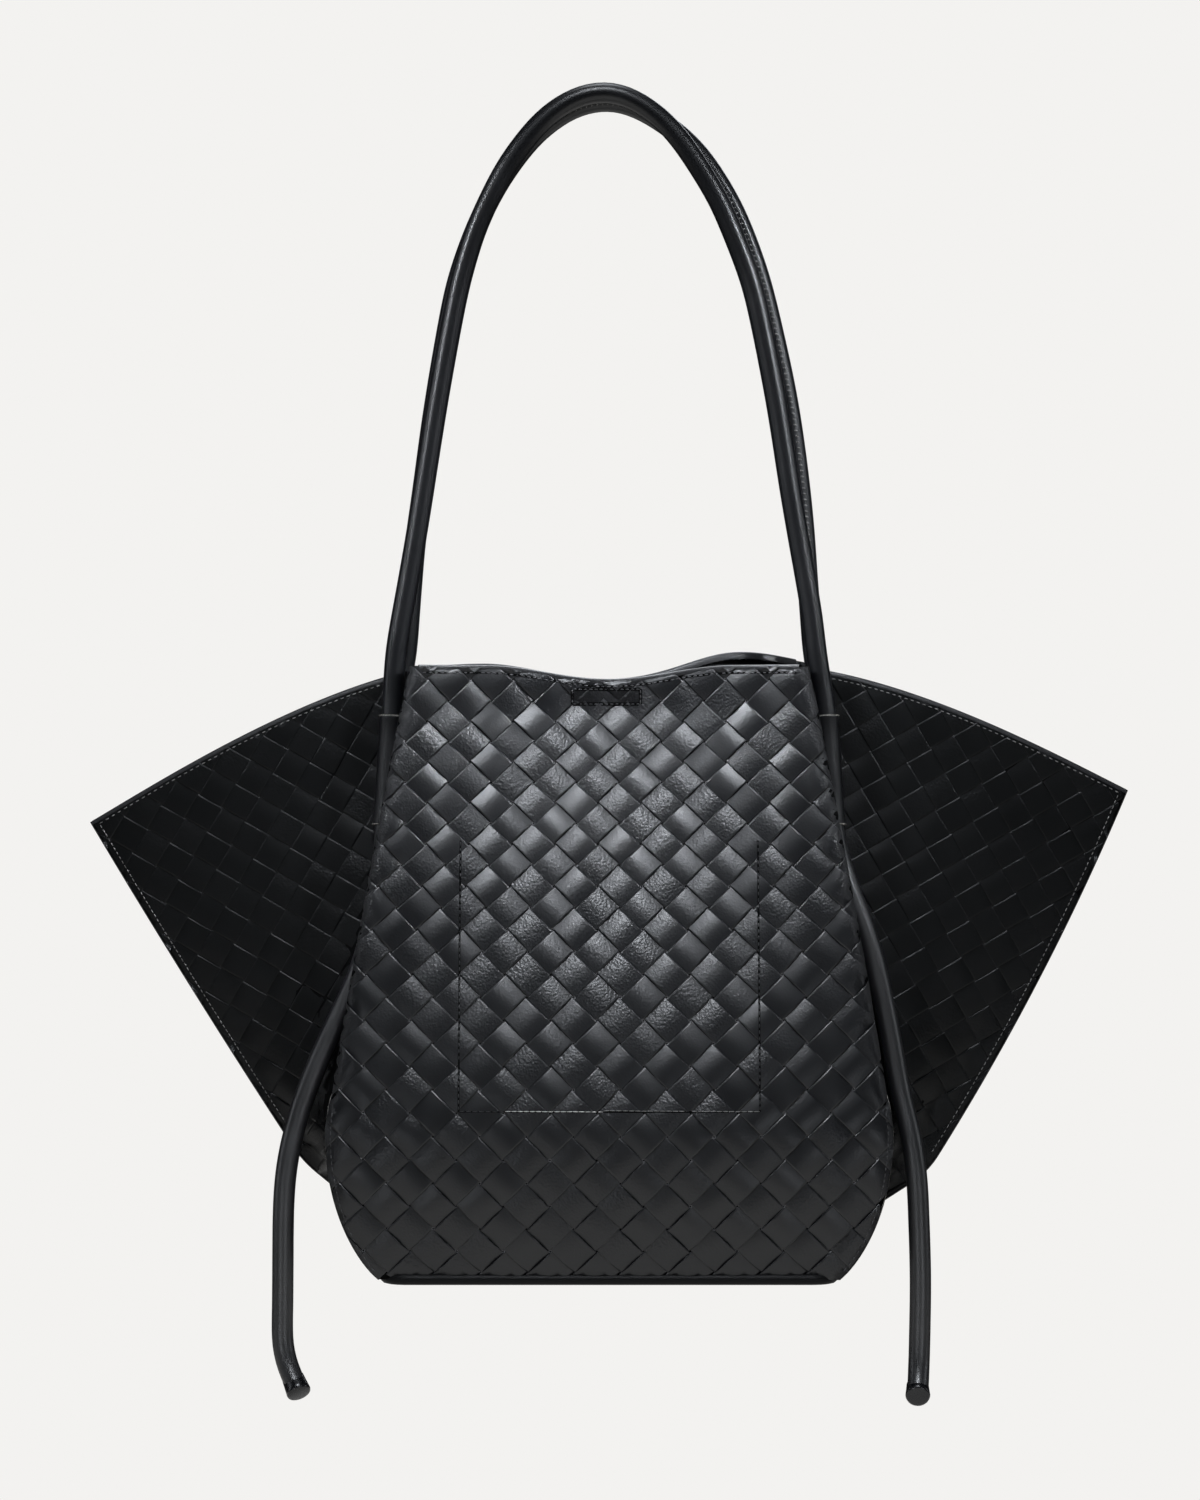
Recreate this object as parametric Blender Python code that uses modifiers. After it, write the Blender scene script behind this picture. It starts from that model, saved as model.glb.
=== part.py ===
"""A woven leather tote bag that hangs by its two rolled straps.

Metres, +Z up, front towards -Y. Heights in this file are measured up from the base's underside, and
level() turns them into Z: the origin is the point under the straps' arches where a hook would hold them.
The front and back are mirror images but for the pocket, the cord tails and the back strap's own curve.
"""

import math

import bmesh
import bpy
from mathutils import Vector

# Body
BODY_HEIGHT = 0.316
RIM_DIP = 0.007
RIM_DIP_HALF_WIDTH = 0.065
BASE_LENGTH = 0.2272
BASE_DEPTH = 0.090
BASE_THICKNESS = 0.0020
BASE_CORNER_RADIUS = 0.006
BOARD_THICKNESS = 0.0015
BOARD_INSET = 0.0075
BELLY_WIDTH = 0.2896
BELLY_HEIGHT = 0.078
BELLY_CENTRE_DEPTH = 0.060
BELLY_EDGE_DEPTH = 0.050
MOUTH_WIDTH = 0.2016
MOUTH_EDGE_DEPTH = 0.026
PANEL_THICKNESS = 0.0018
CLEARANCE = 0.0003

# Turned-in margin along the panel's sides
FOLD_RADIUS = 0.004
MARGIN_LENGTH = 0.026
RAW_MARGIN_LENGTH = 0.002
MARGIN_START_HEIGHT = 0.085
MARGIN_FULL_HEIGHT = 0.125
FOLD_MOST_ANGLE = math.pi

# Wings, which are the gussets pulled out flat
WING_THICKNESS = 0.0015
WING_TIP_SPAN = 0.5388
LEFT_TIP_BELOW_RIM = 0.0807
RIGHT_TIP_BELOW_RIM = 0.0641
WING_JOIN_HEIGHT = 0.045
WING_TOP_ARCH = 0.0062
WING_EDGE_BULGE = 0.0040
GUSSET_INSET = 0.0030
LAP_DEPTH = 0.007
LOW_LAP_REACH = 0.0025
HIGH_LAP_REACH = 0.014
LAP_BLEND_LOW = 0.030
LAP_BLEND_HIGH = 0.110

# Closure
FACING_HEIGHT = 0.0205
FACING_THICKNESS = 0.0008
FACING_RIM_DROP = 0.001
MAGNET_LENGTH = 0.030
MAGNET_WIDTH = 0.007
MAGNET_THICKNESS = 0.0015
MAGNET_BELOW_RIM = 0.0072
MAGNET_POCKET_MARGIN = 0.0012
MAGNET_POCKET_SLOPE = 0.004
FLAT_HALF_WIDTH = MAGNET_LENGTH / 2 + MAGNET_POCKET_MARGIN

# Inner pocket
POCKET_WIDTH = 0.152
POCKET_HEIGHT = 0.137
POCKET_BELOW_RIM = 0.090
POCKET_THICKNESS = 0.0010
POCKET_GAP = 0.0005
POCKET_MOUTH_SLACK = 0.0020

# Sleeves
CORD_DIAMETER = 0.011
SLEEVE_WALL = 0.0008
SLEEVE_LENGTH = 0.0554
SLEEVE_BELOW_RIM = 0.0263
SLEEVE_TOP_SPREAD = 0.1122
SLEEVE_BOTTOM_SPREAD = 0.1155
SLEEVE_SEAT = 0.0005

# Straps
STRAP_DROP = 0.2984
STRAP_BEND_SPREAD = 0.107
STRAP_POINT_SPACING = 0.022

# Tail caps
CAP_DIAMETER = 0.0124
CAP_LENGTH = 0.0034
CAP_BEVEL = 0.0008
TAIL_POINT_SPACING = 0.024

# Derived sizes
CORD_RADIUS = CORD_DIAMETER / 2
SLEEVE_RADIUS = CORD_RADIUS + CLEARANCE + SLEEVE_WALL
SLEEVE_TOP_HEIGHT = BODY_HEIGHT - SLEEVE_BELOW_RIM
SLEEVE_BOTTOM_HEIGHT = SLEEVE_TOP_HEIGHT - SLEEVE_LENGTH
POCKET_TOP_HEIGHT = BODY_HEIGHT - POCKET_BELOW_RIM
POCKET_BOTTOM_HEIGHT = POCKET_TOP_HEIGHT - POCKET_HEIGHT
LEFT_TIP_HEIGHT = BODY_HEIGHT - LEFT_TIP_BELOW_RIM
RIGHT_TIP_HEIGHT = BODY_HEIGHT - RIGHT_TIP_BELOW_RIM
PANEL_BOTTOM = BASE_THICKNESS + CLEARANCE
RIM_CENTRE_HEIGHT = BODY_HEIGHT - RIM_DIP
MAGNET_HEIGHT = RIM_CENTRE_HEIGHT - MAGNET_BELOW_RIM
CLOSURE_DEPTH = (
    PANEL_THICKNESS + CLEARANCE + MAGNET_THICKNESS + CLEARANCE + FACING_THICKNESS + CLEARANCE / 2
)
HANG_HEIGHT = RIM_CENTRE_HEIGHT + STRAP_DROP
BEND_GAP = CORD_RADIUS + CLEARANCE
WING_EDGE_Y = -WING_THICKNESS - CLEARANCE / 2

# Exponents and shares of the body's outline
LOWER_SWELL_POWER_SHARE = 0.7
LOWER_DEPTH_POWER_SHARE = 0.8
UPPER_TAPER_POWER_SHARE = 1.15
UPPER_DEPTH_POWER_SHARE = 1.25
BULGE_POWER_SHARE = 2.2

ROW_SHARES = (0, 0.035, 0.085, 0.145, 0.215, 0.268, 0.33, 0.394, 0.48, 0.58, 0.68, 0.79, 0.87, 0.93, 1)
FACE_SHARES = (0, 0.18, 0.36, 0.53, 0.69, 0.83, 0.92, 1)
MARGIN_SHARES = (0.14, 0.28, 0.42, 0.56, 1)
WALL_ANGLES = tuple(math.radians(angle) for angle in (22, 45, 68, 90))
VALLEY_MOST_SHARE = 0.85
WING_SHARES = (0.12, 0.28, 0.46, 0.64, 0.82, 1)

# The valley floor beyond the panel's side: shares of the body's height and of the sleeve's radius
FLOOR_SHARES = ((0.142, -0.3), (0.332, 0.3), (0.57, -0.3), (0.742, -0.333), (0.917, 0.909), (1, 0.909))

# Strap curves as shares of the bends' spread and of the rise from the bends to the arch
FRONT_STRAP_SHARES = (
    (0, 1), (0.267, 0.972), (0.398, 0.926), (0.486, 0.874), (0.550, 0.811), (0.646, 0.722),
    (0.724, 0.634), (0.815, 0.455), (0.892, 0.277), (0.973, 0.098), (0.997, 0.035), (1, 0),
)
BACK_STRAP_SHARES = (
    (0, 1), (0.267, 0.972), (0.408, 0.926), (0.512, 0.874), (0.597, 0.811), (0.695, 0.722),
    (0.768, 0.634), (0.864, 0.455), (0.932, 0.277), (0.982, 0.098), (0.998, 0.035), (1, 0),
)

# Tail routes from the bend under the sleeve: outwards, forwards and down
LEFT_TAIL_ROUTE = (
    (0, 0, 0), (0.0015, 0.004, 0.021), (0.0050, 0.0075, 0.042), (0.0130, 0.011, 0.071),
    (0.0212, 0.0125, 0.089), (0.0327, 0.016, 0.114), (0.0423, 0.018, 0.139), (0.0487, 0.022, 0.165),
    (0.0507, 0.024, 0.187), (0.0510, 0.025, 0.212), (0.0512, 0.025, 0.243), (0.0515, 0.025, 0.257),
    (0.0497, 0.025, 0.268), (0.0436, 0.026, 0.2815),
)
RIGHT_TAIL_ROUTE = (
    (0, 0, 0), (0.0058, 0.003, 0.021), (0.0137, 0.006, 0.042), (0.0202, 0.0085, 0.063),
    (0.0279, 0.0115, 0.0985), (0.0331, 0.015, 0.129), (0.0391, 0.021, 0.155), (0.0417, 0.023, 0.175),
    (0.0426, 0.024, 0.196), (0.0434, 0.025, 0.226), (0.0429, 0.025, 0.259), (0.0418, 0.026, 0.283),
)

# Finishes
LEATHER_COLOUR = (0.018, 0.019, 0.021, 1)
LINING_COLOUR = (0.045, 0.042, 0.040, 1)
BOARD_COLOUR = (0.060, 0.055, 0.050, 1)
STEEL_COLOUR = (0.55, 0.55, 0.56, 1)
LEATHER_ROUGHNESS = 0.42
LINING_ROUGHNESS = 0.85
BOARD_ROUGHNESS = 0.9
STEEL_ROUGHNESS = 0.35

# Fineness of the meshes
ROUND_SIDES = 16
FACING_COLUMNS = 5
CORD_RESOLUTION = 3
SHARP_ANGLE = math.radians(40)
MERGE_DISTANCE = 0.00001


def level(height):
    """The Z of a height above the base's underside."""
    return height - HANG_HEIGHT


def smoothstep(value):
    value = min(max(value, 0), 1)
    return value * value * (3 - 2 * value)


def blend(start, end, share):
    return start + (end - start) * share


def read_table(table, position):
    """Straight-line reading of a table of (position, value) pairs."""
    if position <= table[0][0]:
        return table[0][1]
    for (low, first), (high, second) in zip(table, table[1:]):
        if position <= high:
            return blend(first, second, (position - low) / (high - low))
    return table[-1][1]


def swell(height, base, belly, top, top_height, lower_power, upper_power):
    """A size that swells from the base to the belly and tapers from there to the top."""
    if height < BELLY_HEIGHT:
        share = math.sin(math.pi / 2 * (height / BELLY_HEIGHT) ** lower_power)
        return blend(base, belly, share)
    share = min((height - BELLY_HEIGHT) / (top_height - BELLY_HEIGHT), 1)
    return blend(belly, top, share**upper_power)


def half_width(height):
    """Half the panel's visible width."""
    return swell(
        height, BASE_LENGTH / 2, BELLY_WIDTH / 2, MOUTH_WIDTH / 2, BODY_HEIGHT,
        LOWER_SWELL_POWER_SHARE, UPPER_TAPER_POWER_SHARE,
    )


def centre_depth(height):
    """How far the panel's middle stands in front of the bag's middle plane."""
    return swell(
        height, BASE_DEPTH / 2, BELLY_CENTRE_DEPTH, CLOSURE_DEPTH, MAGNET_HEIGHT - MAGNET_WIDTH,
        LOWER_DEPTH_POWER_SHARE, UPPER_DEPTH_POWER_SHARE,
    )


def edge_depth(height):
    """The same at the panel's sides."""
    return swell(
        height, BASE_DEPTH / 2, BELLY_EDGE_DEPTH, MOUTH_EDGE_DEPTH, BODY_HEIGHT,
        LOWER_DEPTH_POWER_SHARE, 1,
    )


def margin_length(height):
    """Length of the turned-in margin, which runs out to a raw edge low down."""
    share = smoothstep((height - MARGIN_START_HEIGHT) / (MARGIN_FULL_HEIGHT - MARGIN_START_HEIGHT))
    return blend(RAW_MARGIN_LENGTH, MARGIN_LENGTH, share)


def fold_angle(length):
    return min(length / FOLD_RADIUS, FOLD_MOST_ANGLE)


def face_half_width(height):
    """Half the width of the flat face, inside the fold."""
    turned = min(fold_angle(margin_length(height)), math.pi / 2)
    return half_width(height) - FOLD_RADIUS * math.sin(turned)


def face_depth(height, across):
    """Depth of the panel's outer face at a distance from its middle."""
    edge = edge_depth(height)
    share = max(abs(across) - FLAT_HALF_WIDTH, 0) / (face_half_width(height) - FLAT_HALF_WIDTH)
    middle = centre_depth(height) - edge
    if share > 1:
        return edge - middle * BULGE_POWER_SHARE * (share - 1)
    return edge + middle * (1 - share**BULGE_POWER_SHARE)


def face_across(order, height):
    """Distance from the middle of a column of the face, counted from the middle one."""
    if order == 0:
        return 0
    reach = face_half_width(height) - FLAT_HALF_WIDTH
    return math.copysign(FLAT_HALF_WIDTH + reach * FACE_SHARES[abs(order) - 1], order)


def edge_slope(height):
    """Angle by which the face runs back at its side."""
    middle = centre_depth(height) - edge_depth(height)
    return math.atan(middle * BULGE_POWER_SHARE / (face_half_width(height) - FLAT_HALF_WIDTH))


def rim_height(across):
    """The mouth's rim, which dips in the middle."""
    share = min(abs(across) / RIM_DIP_HALF_WIDTH, 1)
    return BODY_HEIGHT - RIM_DIP * (1 + math.cos(math.pi * share)) / 2


def face_point(across, height, inwards=0):
    """A point of the front panel's outer face, or behind it along the row's own normal."""
    step = FOLD_RADIUS / 2
    depth = face_depth(height, across)
    run = face_depth(height, abs(across) + step) - face_depth(height, abs(across) - step)
    normal = Vector((run / (2 * step), 1)).normalized()
    side = math.copysign(1, across)
    return Vector((across - side * -normal.x * inwards, -depth + normal.y * inwards, level(height)))


def margin_point(side, height, length):
    """A point of the panel's turned-in margin, at a length past the face's side."""
    bend = fold_angle(length)
    turned = bend * FOLD_RADIUS
    out = FOLD_RADIUS * math.sin(bend) + (length - turned) * math.cos(bend)
    back = FOLD_RADIUS * (1 - math.cos(bend)) + (length - turned) * math.sin(bend)
    slope = edge_slope(height)
    across = face_half_width(height) + out * math.cos(slope) - back * math.sin(slope)
    depth = edge_depth(height) - out * math.sin(slope) - back * math.cos(slope)
    return Vector((side * across, -depth, level(height)))


def lap_point(across, height):
    """A point behind the right side of the front panel, clear of its turned-in margin."""
    bend = fold_angle(margin_length(height))
    behind = max(PANEL_THICKNESS, FOLD_RADIUS * (1 - math.cos(bend))) + CLEARANCE
    beyond = across - face_half_width(height)
    slope = math.tan(edge_slope(height))
    from_fold = behind / math.cos(edge_slope(height)) + slope * beyond - edge_depth(height)
    from_face = face_point(across, height, behind).y
    return Vector((across, max(from_fold, from_face), level(height)))


def new_object(name, mesh, material):
    mesh.materials.append(material)
    made = bpy.data.objects.new(name, mesh)
    parts_collection().objects.link(made)
    return made


def parts_collection():
    name = "woven_tote_bag"
    if name not in bpy.data.collections:
        bpy.context.scene.collection.children.link(bpy.data.collections.new(name))
    return bpy.data.collections[name]


def principled(name, colour, roughness, metallic=0):
    material = bpy.data.materials.new(name)
    material.use_nodes = True
    shader = material.node_tree.nodes["Principled BSDF"]
    shader.inputs["Base Color"].default_value = colour
    shader.inputs["Roughness"].default_value = roughness
    shader.inputs["Metallic"].default_value = metallic
    return material


def leather(name):
    return principled(name, LEATHER_COLOUR, LEATHER_ROUGHNESS)


def sheet(name, columns, rows, point_at, thickness, material):
    """A grid laid on a surface and given a thickness behind it."""
    mesh = bpy.data.meshes.new(name)
    grid = bmesh.new()
    bmesh.ops.create_grid(grid, x_segments=columns - 1, y_segments=rows - 1, size=1)
    for vertex in grid.verts:
        column = round((vertex.co.x + 1) / 2 * (columns - 1))
        row = round((vertex.co.y + 1) / 2 * (rows - 1))
        vertex.co = point_at(column, row)
    grid.to_mesh(mesh)
    grid.free()
    mesh.shade_smooth()
    mesh.set_sharp_from_angle(angle=SHARP_ANGLE)
    made = new_object(name, mesh, material)
    wall = made.modifiers.new("wall", "SOLIDIFY")
    wall.thickness = thickness
    wall.offset = -1
    wall.use_even_offset = True
    return made


def mirrored_to_back(point):
    return Vector((point.x, -point.y, point.z))


def facing_front(front, columns, point_at):
    """The surface as drawn for the front, or mirrored for the back with its columns reversed."""
    if front:
        return point_at
    return lambda column, row: mirrored_to_back(point_at(columns - 1 - column, row))


def row_height(row, top=BODY_HEIGHT):
    return blend(PANEL_BOTTOM, top, ROW_SHARES[row])


def panel(name, front):
    """A woven panel: its face, then the margins that fold in behind the face's sides."""
    margins = len(MARGIN_SHARES)
    columns = 2 * len(FACE_SHARES) + 1 + 2 * margins

    def point_at(column, row):
        if column < margins or column >= columns - margins:
            side = -1 if column < margins else 1
            order = margins - 1 - column if column < margins else column - (columns - margins)
            height = row_height(row)
            return margin_point(side, height, MARGIN_SHARES[order] * margin_length(height))
        order = column - margins - len(FACE_SHARES)
        height = row_height(row, rim_height(face_across(order, BODY_HEIGHT)))
        return face_point(face_across(order, height), height)

    place = facing_front(front, columns, point_at)
    return sheet(name, columns, len(ROW_SHARES), place, PANEL_THICKNESS, leather(name))


def wing_edge(height, tip_height):
    """The point of the wing's outer edge that belongs to a height along the panel's side."""
    if height <= WING_JOIN_HEIGHT:
        return half_width(height) - GUSSET_INSET, height
    share = (height - WING_JOIN_HEIGHT) / (BODY_HEIGHT - WING_JOIN_HEIGHT)
    start = Vector((half_width(WING_JOIN_HEIGHT) - GUSSET_INSET, WING_JOIN_HEIGHT))
    tip = Vector((WING_TIP_SPAN / 2, tip_height))
    run = tip - start
    outwards = Vector((run.y, -run.x)).normalized()
    point = start + run * share + outwards * WING_EDGE_BULGE * 4 * share * (1 - share)
    return point.x, point.y


def valley(height):
    """The top of the wall behind the panel's fold, and the floor beyond, which the sleeve lies on."""
    lift = smoothstep((height - LAP_BLEND_LOW) / (LAP_BLEND_HIGH - LAP_BLEND_LOW))
    wall_x = half_width(height) - blend(LOW_LAP_REACH, HIGH_LAP_REACH, lift)
    wall = lap_point(wall_x, height)
    floor_x = half_width(height) + SLEEVE_RADIUS * read_table(FLOOR_SHARES, height / BODY_HEIGHT)
    if height <= WING_JOIN_HEIGHT:
        floor_x = (wall_x + half_width(height) - GUSSET_INSET) / 2
    depth = min(2 * SLEEVE_RADIUS + 2 * SLEEVE_SEAT, (WING_EDGE_Y - wall.y) * VALLEY_MOST_SHARE)
    return wall, Vector((floor_x, wall.y + depth, level(height)))


def wing_row(height, tip_height):
    """One row of the right front wing's outer surface, from its lap behind the panel to its edge."""
    wall_top, floor = valley(height)
    points = [lap_point(wall_top.x - LAP_DEPTH, height), wall_top]
    edge_x, edge_height = wing_edge(height, tip_height)
    edge = Vector((edge_x, WING_EDGE_Y, level(edge_height)))
    for angle in WALL_ANGLES:
        x = floor.x - (floor.x - wall_top.x) * math.cos(angle)
        y = wall_top.y + (floor.y - wall_top.y) * math.sin(angle)
        points.append(Vector((x, y, level(height))))
    points += [floor.lerp(edge, share) for share in WING_SHARES]
    rise = (height - PANEL_BOTTOM) / (BODY_HEIGHT - PANEL_BOTTOM)
    for point in points:
        along = max((point.x - wall_top.x) / (edge.x - wall_top.x), 0) if height > WING_JOIN_HEIGHT else 0
        point.z = blend(level(height), edge.z, along) + WING_TOP_ARCH * rise * 4 * along * (1 - along)
    return points


def wing(name, side, front):
    """One layer of a wing. Its outer edge is sewn to the other layer's."""
    tip_height = RIGHT_TIP_HEIGHT if side > 0 else LEFT_TIP_HEIGHT
    rows = [wing_row(row_height(row), tip_height) for row in range(len(ROW_SHARES))]
    columns = len(rows[0])

    def point_at(column, row):
        point = rows[row][column if side > 0 else columns - 1 - column]
        return Vector((side * point.x, point.y, point.z))

    place = facing_front(front, columns, point_at)
    return sheet(name, columns, len(ROW_SHARES), place, WING_THICKNESS, leather(name))


def facing(name, front):
    """The band sewn inside the rim. It stands off where it covers the magnet."""
    orders = range(-FACING_COLUMNS, FACING_COLUMNS + 1)
    magnet_half = MAGNET_WIDTH / 2 + MAGNET_POCKET_MARGIN
    below_rim = (
        FACING_HEIGHT,
        MAGNET_BELOW_RIM + magnet_half + MAGNET_POCKET_SLOPE,
        MAGNET_BELOW_RIM + magnet_half,
        MAGNET_BELOW_RIM - magnet_half,
        FACING_RIM_DROP,
    )
    stand_off = MAGNET_THICKNESS + CLEARANCE

    def point_at(column, row):
        order = orders[column]
        height = rim_height(face_across(order, BODY_HEIGHT)) - below_rim[row]
        x = face_across(order, height)
        over = abs(order) < 2 and 1 < row
        inwards = PANEL_THICKNESS + CLEARANCE + (stand_off if over else 0)
        return face_point(x, height, inwards)

    columns = len(orders)
    place = facing_front(front, columns, point_at)
    return sheet(name, columns, len(below_rim), place, FACING_THICKNESS, leather(name))


def box(name, size, place, material):
    mesh = bpy.data.meshes.new(name)
    cube = bmesh.new()
    bmesh.ops.create_cube(cube, size=1)
    bmesh.ops.scale(cube, vec=size, verts=cube.verts)
    cube.to_mesh(mesh)
    cube.free()
    made = new_object(name, mesh, material)
    made.location = place
    return made


def magnet(name, front):
    """A bar magnet between the panel and its facing."""
    depth = centre_depth(MAGNET_HEIGHT) - PANEL_THICKNESS - CLEARANCE - MAGNET_THICKNESS / 2
    place = Vector((0, -depth if front else depth, level(MAGNET_HEIGHT)))
    steel = principled(name, STEEL_COLOUR, STEEL_ROUGHNESS, 1)
    return box(name, (MAGNET_LENGTH, MAGNET_THICKNESS, MAGNET_WIDTH), place, steel)


def pocket(name):
    """The slip pocket sewn to the inside of the front panel, a little slack at its mouth."""
    columns = (-1, -0.97, -0.66, -0.33, 0, 0.33, 0.66, 0.97, 1)
    rows = (0, 0.03, 0.25, 0.5, 0.75, 1)

    def point_at(column, row):
        share = columns[column]
        height = blend(POCKET_BOTTOM_HEIGHT, POCKET_TOP_HEIGHT, rows[row])
        slack = POCKET_MOUTH_SLACK * rows[row] * (1 - share * share)
        inwards = PANEL_THICKNESS + POCKET_GAP + slack
        return face_point(share * POCKET_WIDTH / 2, height, inwards)

    lining = principled(name, LINING_COLOUR, LINING_ROUGHNESS)
    return sheet(name, len(columns), len(rows), point_at, POCKET_THICKNESS, lining)


def plate(name, length, depth, corner, thickness, bottom, material):
    """A flat plate with round corners, as an extruded outline."""
    curve = bpy.data.curves.new(name, "CURVE")
    curve.dimensions = "2D"
    curve.fill_mode = "BOTH"
    curve.extrude = thickness / 2
    corner_steps = 5
    outline = []
    for turn, (x, y) in enumerate(((1, 1), (-1, 1), (-1, -1), (1, -1))):
        centre = Vector((x * (length / 2 - corner), y * (depth / 2 - corner)))
        for step in range(corner_steps):
            angle = math.pi / 2 * (turn + step / (corner_steps - 1))
            outline.append(centre + corner * Vector((math.cos(angle), math.sin(angle))))
    spline = curve.splines.new("POLY")
    spline.points.add(len(outline) - 1)
    for point, place in zip(spline.points, outline):
        point.co = (place.x, place.y, 0, 1)
    spline.use_cyclic_u = True
    curve.materials.append(material)
    made = bpy.data.objects.new(name, curve)
    made.location = (0, 0, level(bottom + thickness / 2))
    parts_collection().objects.link(made)
    return made


def sleeve_place(side, front, height):
    """The sleeve's axis at a height: in the valley between the panel's fold and the wing."""
    share = (height - SLEEVE_BOTTOM_HEIGHT) / (SLEEVE_TOP_HEIGHT - SLEEVE_BOTTOM_HEIGHT)
    spread = blend(SLEEVE_BOTTOM_SPREAD, SLEEVE_TOP_SPREAD, share)
    depths = []
    for end in (SLEEVE_BOTTOM_HEIGHT, SLEEVE_TOP_HEIGHT):
        depths.append(valley(end)[1].y - SLEEVE_RADIUS - SLEEVE_SEAT)
    y = blend(depths[0], depths[1], share)
    return Vector((side * spread, y if front else -y, level(height)))


def aim(made, low, high):
    """Stands an object that was modelled along Z between two points."""
    made.location = (low + high) / 2
    made.rotation_mode = "QUATERNION"
    made.rotation_quaternion = Vector((0, 0, 1)).rotation_difference(high - low)


def sleeve(name, side, front):
    """A leather tube, turned from its wall's section."""
    low = sleeve_place(side, front, SLEEVE_BOTTOM_HEIGHT)
    high = sleeve_place(side, front, SLEEVE_TOP_HEIGHT)
    half = (high - low).length / 2
    bore = SLEEVE_RADIUS - SLEEVE_WALL
    section = ((SLEEVE_RADIUS, half), (SLEEVE_RADIUS, -half), (bore, -half), (bore, half))
    mesh = bpy.data.meshes.new(name)
    profile = bmesh.new()
    corners = [profile.verts.new((x, 0, z)) for x, z in section]
    for first, second in zip(corners, corners[1:] + corners[:1]):
        profile.edges.new((first, second))
    profile.to_mesh(mesh)
    profile.free()
    made = new_object(name, mesh, leather(name))
    screw = made.modifiers.new("turn", "SCREW")
    screw.steps = ROUND_SIDES
    screw.render_steps = ROUND_SIDES
    screw.use_merge_vertices = True
    screw.merge_threshold = MERGE_DISTANCE
    screw.use_smooth_shade = True
    aim(made, low, high)
    return made


def rod(name, diameter, low, high, material, bevel=0):
    """A round solid between two points."""
    mesh = bpy.data.meshes.new(name)
    round_body = bmesh.new()
    bmesh.ops.create_cone(
        round_body, cap_ends=True, segments=ROUND_SIDES,
        radius1=diameter / 2, radius2=diameter / 2, depth=(high - low).length,
    )
    round_body.to_mesh(mesh)
    round_body.free()
    mesh.shade_smooth()
    mesh.set_sharp_from_angle(angle=SHARP_ANGLE)
    made = new_object(name, mesh, material)
    if bevel:
        edge = made.modifiers.new("edge", "BEVEL")
        edge.width = bevel
        edge.segments = 2
        edge.limit_method = "ANGLE"
    aim(made, low, high)
    return made


def smooth_route(points):
    """Points along a Catmull-Rom curve through the route, closely spaced."""
    ends = [points[0] * 2 - points[1]] + points + [points[-1] * 2 - points[-2]]
    fine = []
    steps = 24
    for before, start, end, after in zip(ends, ends[1:], ends[2:], ends[3:]):
        for step in range(steps):
            t = step / steps
            fine.append(
                (
                    start * 2
                    + (end - before) * t
                    + (before * 2 - start * 5 + end * 4 - after) * t**2
                    + (start * 3 - before - end * 3 + after) * t**3
                )
                / 2
            )
    return fine + [points[-1]]


def even_points(points, spacing):
    """The same curve with points about a spacing apart."""
    fine = smooth_route(points)
    lengths = [0]
    for first, second in zip(fine, fine[1:]):
        lengths.append(lengths[-1] + (second - first).length)
    count = max(round(lengths[-1] / spacing), 2)
    spaced = []
    position = 0
    for order in range(count + 1):
        target = lengths[-1] * order / count
        while position < len(lengths) - 2 and lengths[position + 1] < target:
            position += 1
        run = lengths[position + 1] - lengths[position]
        spaced.append(fine[position].lerp(fine[position + 1], (target - lengths[position]) / run))
    return spaced


def tube(name, knots, origin):
    """A round tube through knots, each a place and a share of the cord's radius."""
    curve = bpy.data.curves.new(name, "CURVE")
    curve.dimensions = "3D"
    curve.bevel_depth = CORD_RADIUS
    curve.bevel_resolution = CORD_RESOLUTION
    curve.use_fill_caps = True
    spline = curve.splines.new("POLY")
    spline.points.add(len(knots) - 1)
    for point, (place, radius) in zip(spline.points, knots):
        point.co = (*(place - origin), 1)
        point.radius = radius
    spline.use_smooth = True
    curve.materials.append(leather(name))
    made = bpy.data.objects.new(name, curve)
    made.location = origin
    parts_collection().objects.link(made)
    return made


def dome(tip_side, centre):
    """Points and radii of a round cord end about the bend, from its tip to its full width."""
    outwards = (centre - tip_side).normalized()
    angles = (math.radians(15), math.radians(45))
    return [(centre + outwards * CORD_RADIUS * math.cos(angle), math.sin(angle)) for angle in angles]


def cord(name, points, spacing, dome_start, dome_end):
    """A round cord along a smooth route, with a round end wherever it meets a bend."""
    route = even_points(points, spacing)
    knots = [(place, 1) for place in route]
    if dome_start:
        knots = dome(route[1], route[0]) + knots
    if dome_end:
        knots += reversed(dome(route[-2], route[-1]))
    return tube(name, knots, route[0] if not dome_end else (route[0] + route[-1]) / 2)


def strap_bend(side, front):
    """Where a strap bends just above the rim."""
    mouth = sleeve_place(side, front, SLEEVE_TOP_HEIGHT)
    return Vector((side * STRAP_BEND_SPREAD, mouth.y, level(BODY_HEIGHT + BEND_GAP)))


def strap(name, front):
    """A strap's arch from bend to bend. Its legs lean in until the two arches touch at the top."""
    table = FRONT_STRAP_SHARES if front else BACK_STRAP_SHARES
    bend = strap_bend(1, front)
    arch_z = CORD_RADIUS
    arch_y = math.copysign(CORD_RADIUS + CLEARANCE / 2, bend.y)
    half = []
    for spread_share, rise_share in table:
        y = blend(bend.y, arch_y, rise_share)
        half.append(Vector((spread_share * bend.x, y, blend(bend.z, arch_z, rise_share))))
    left = [Vector((-point.x, point.y, point.z)) for point in reversed(half)]
    return cord(name, left[:-1] + half, STRAP_POINT_SPACING, True, True)


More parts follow.
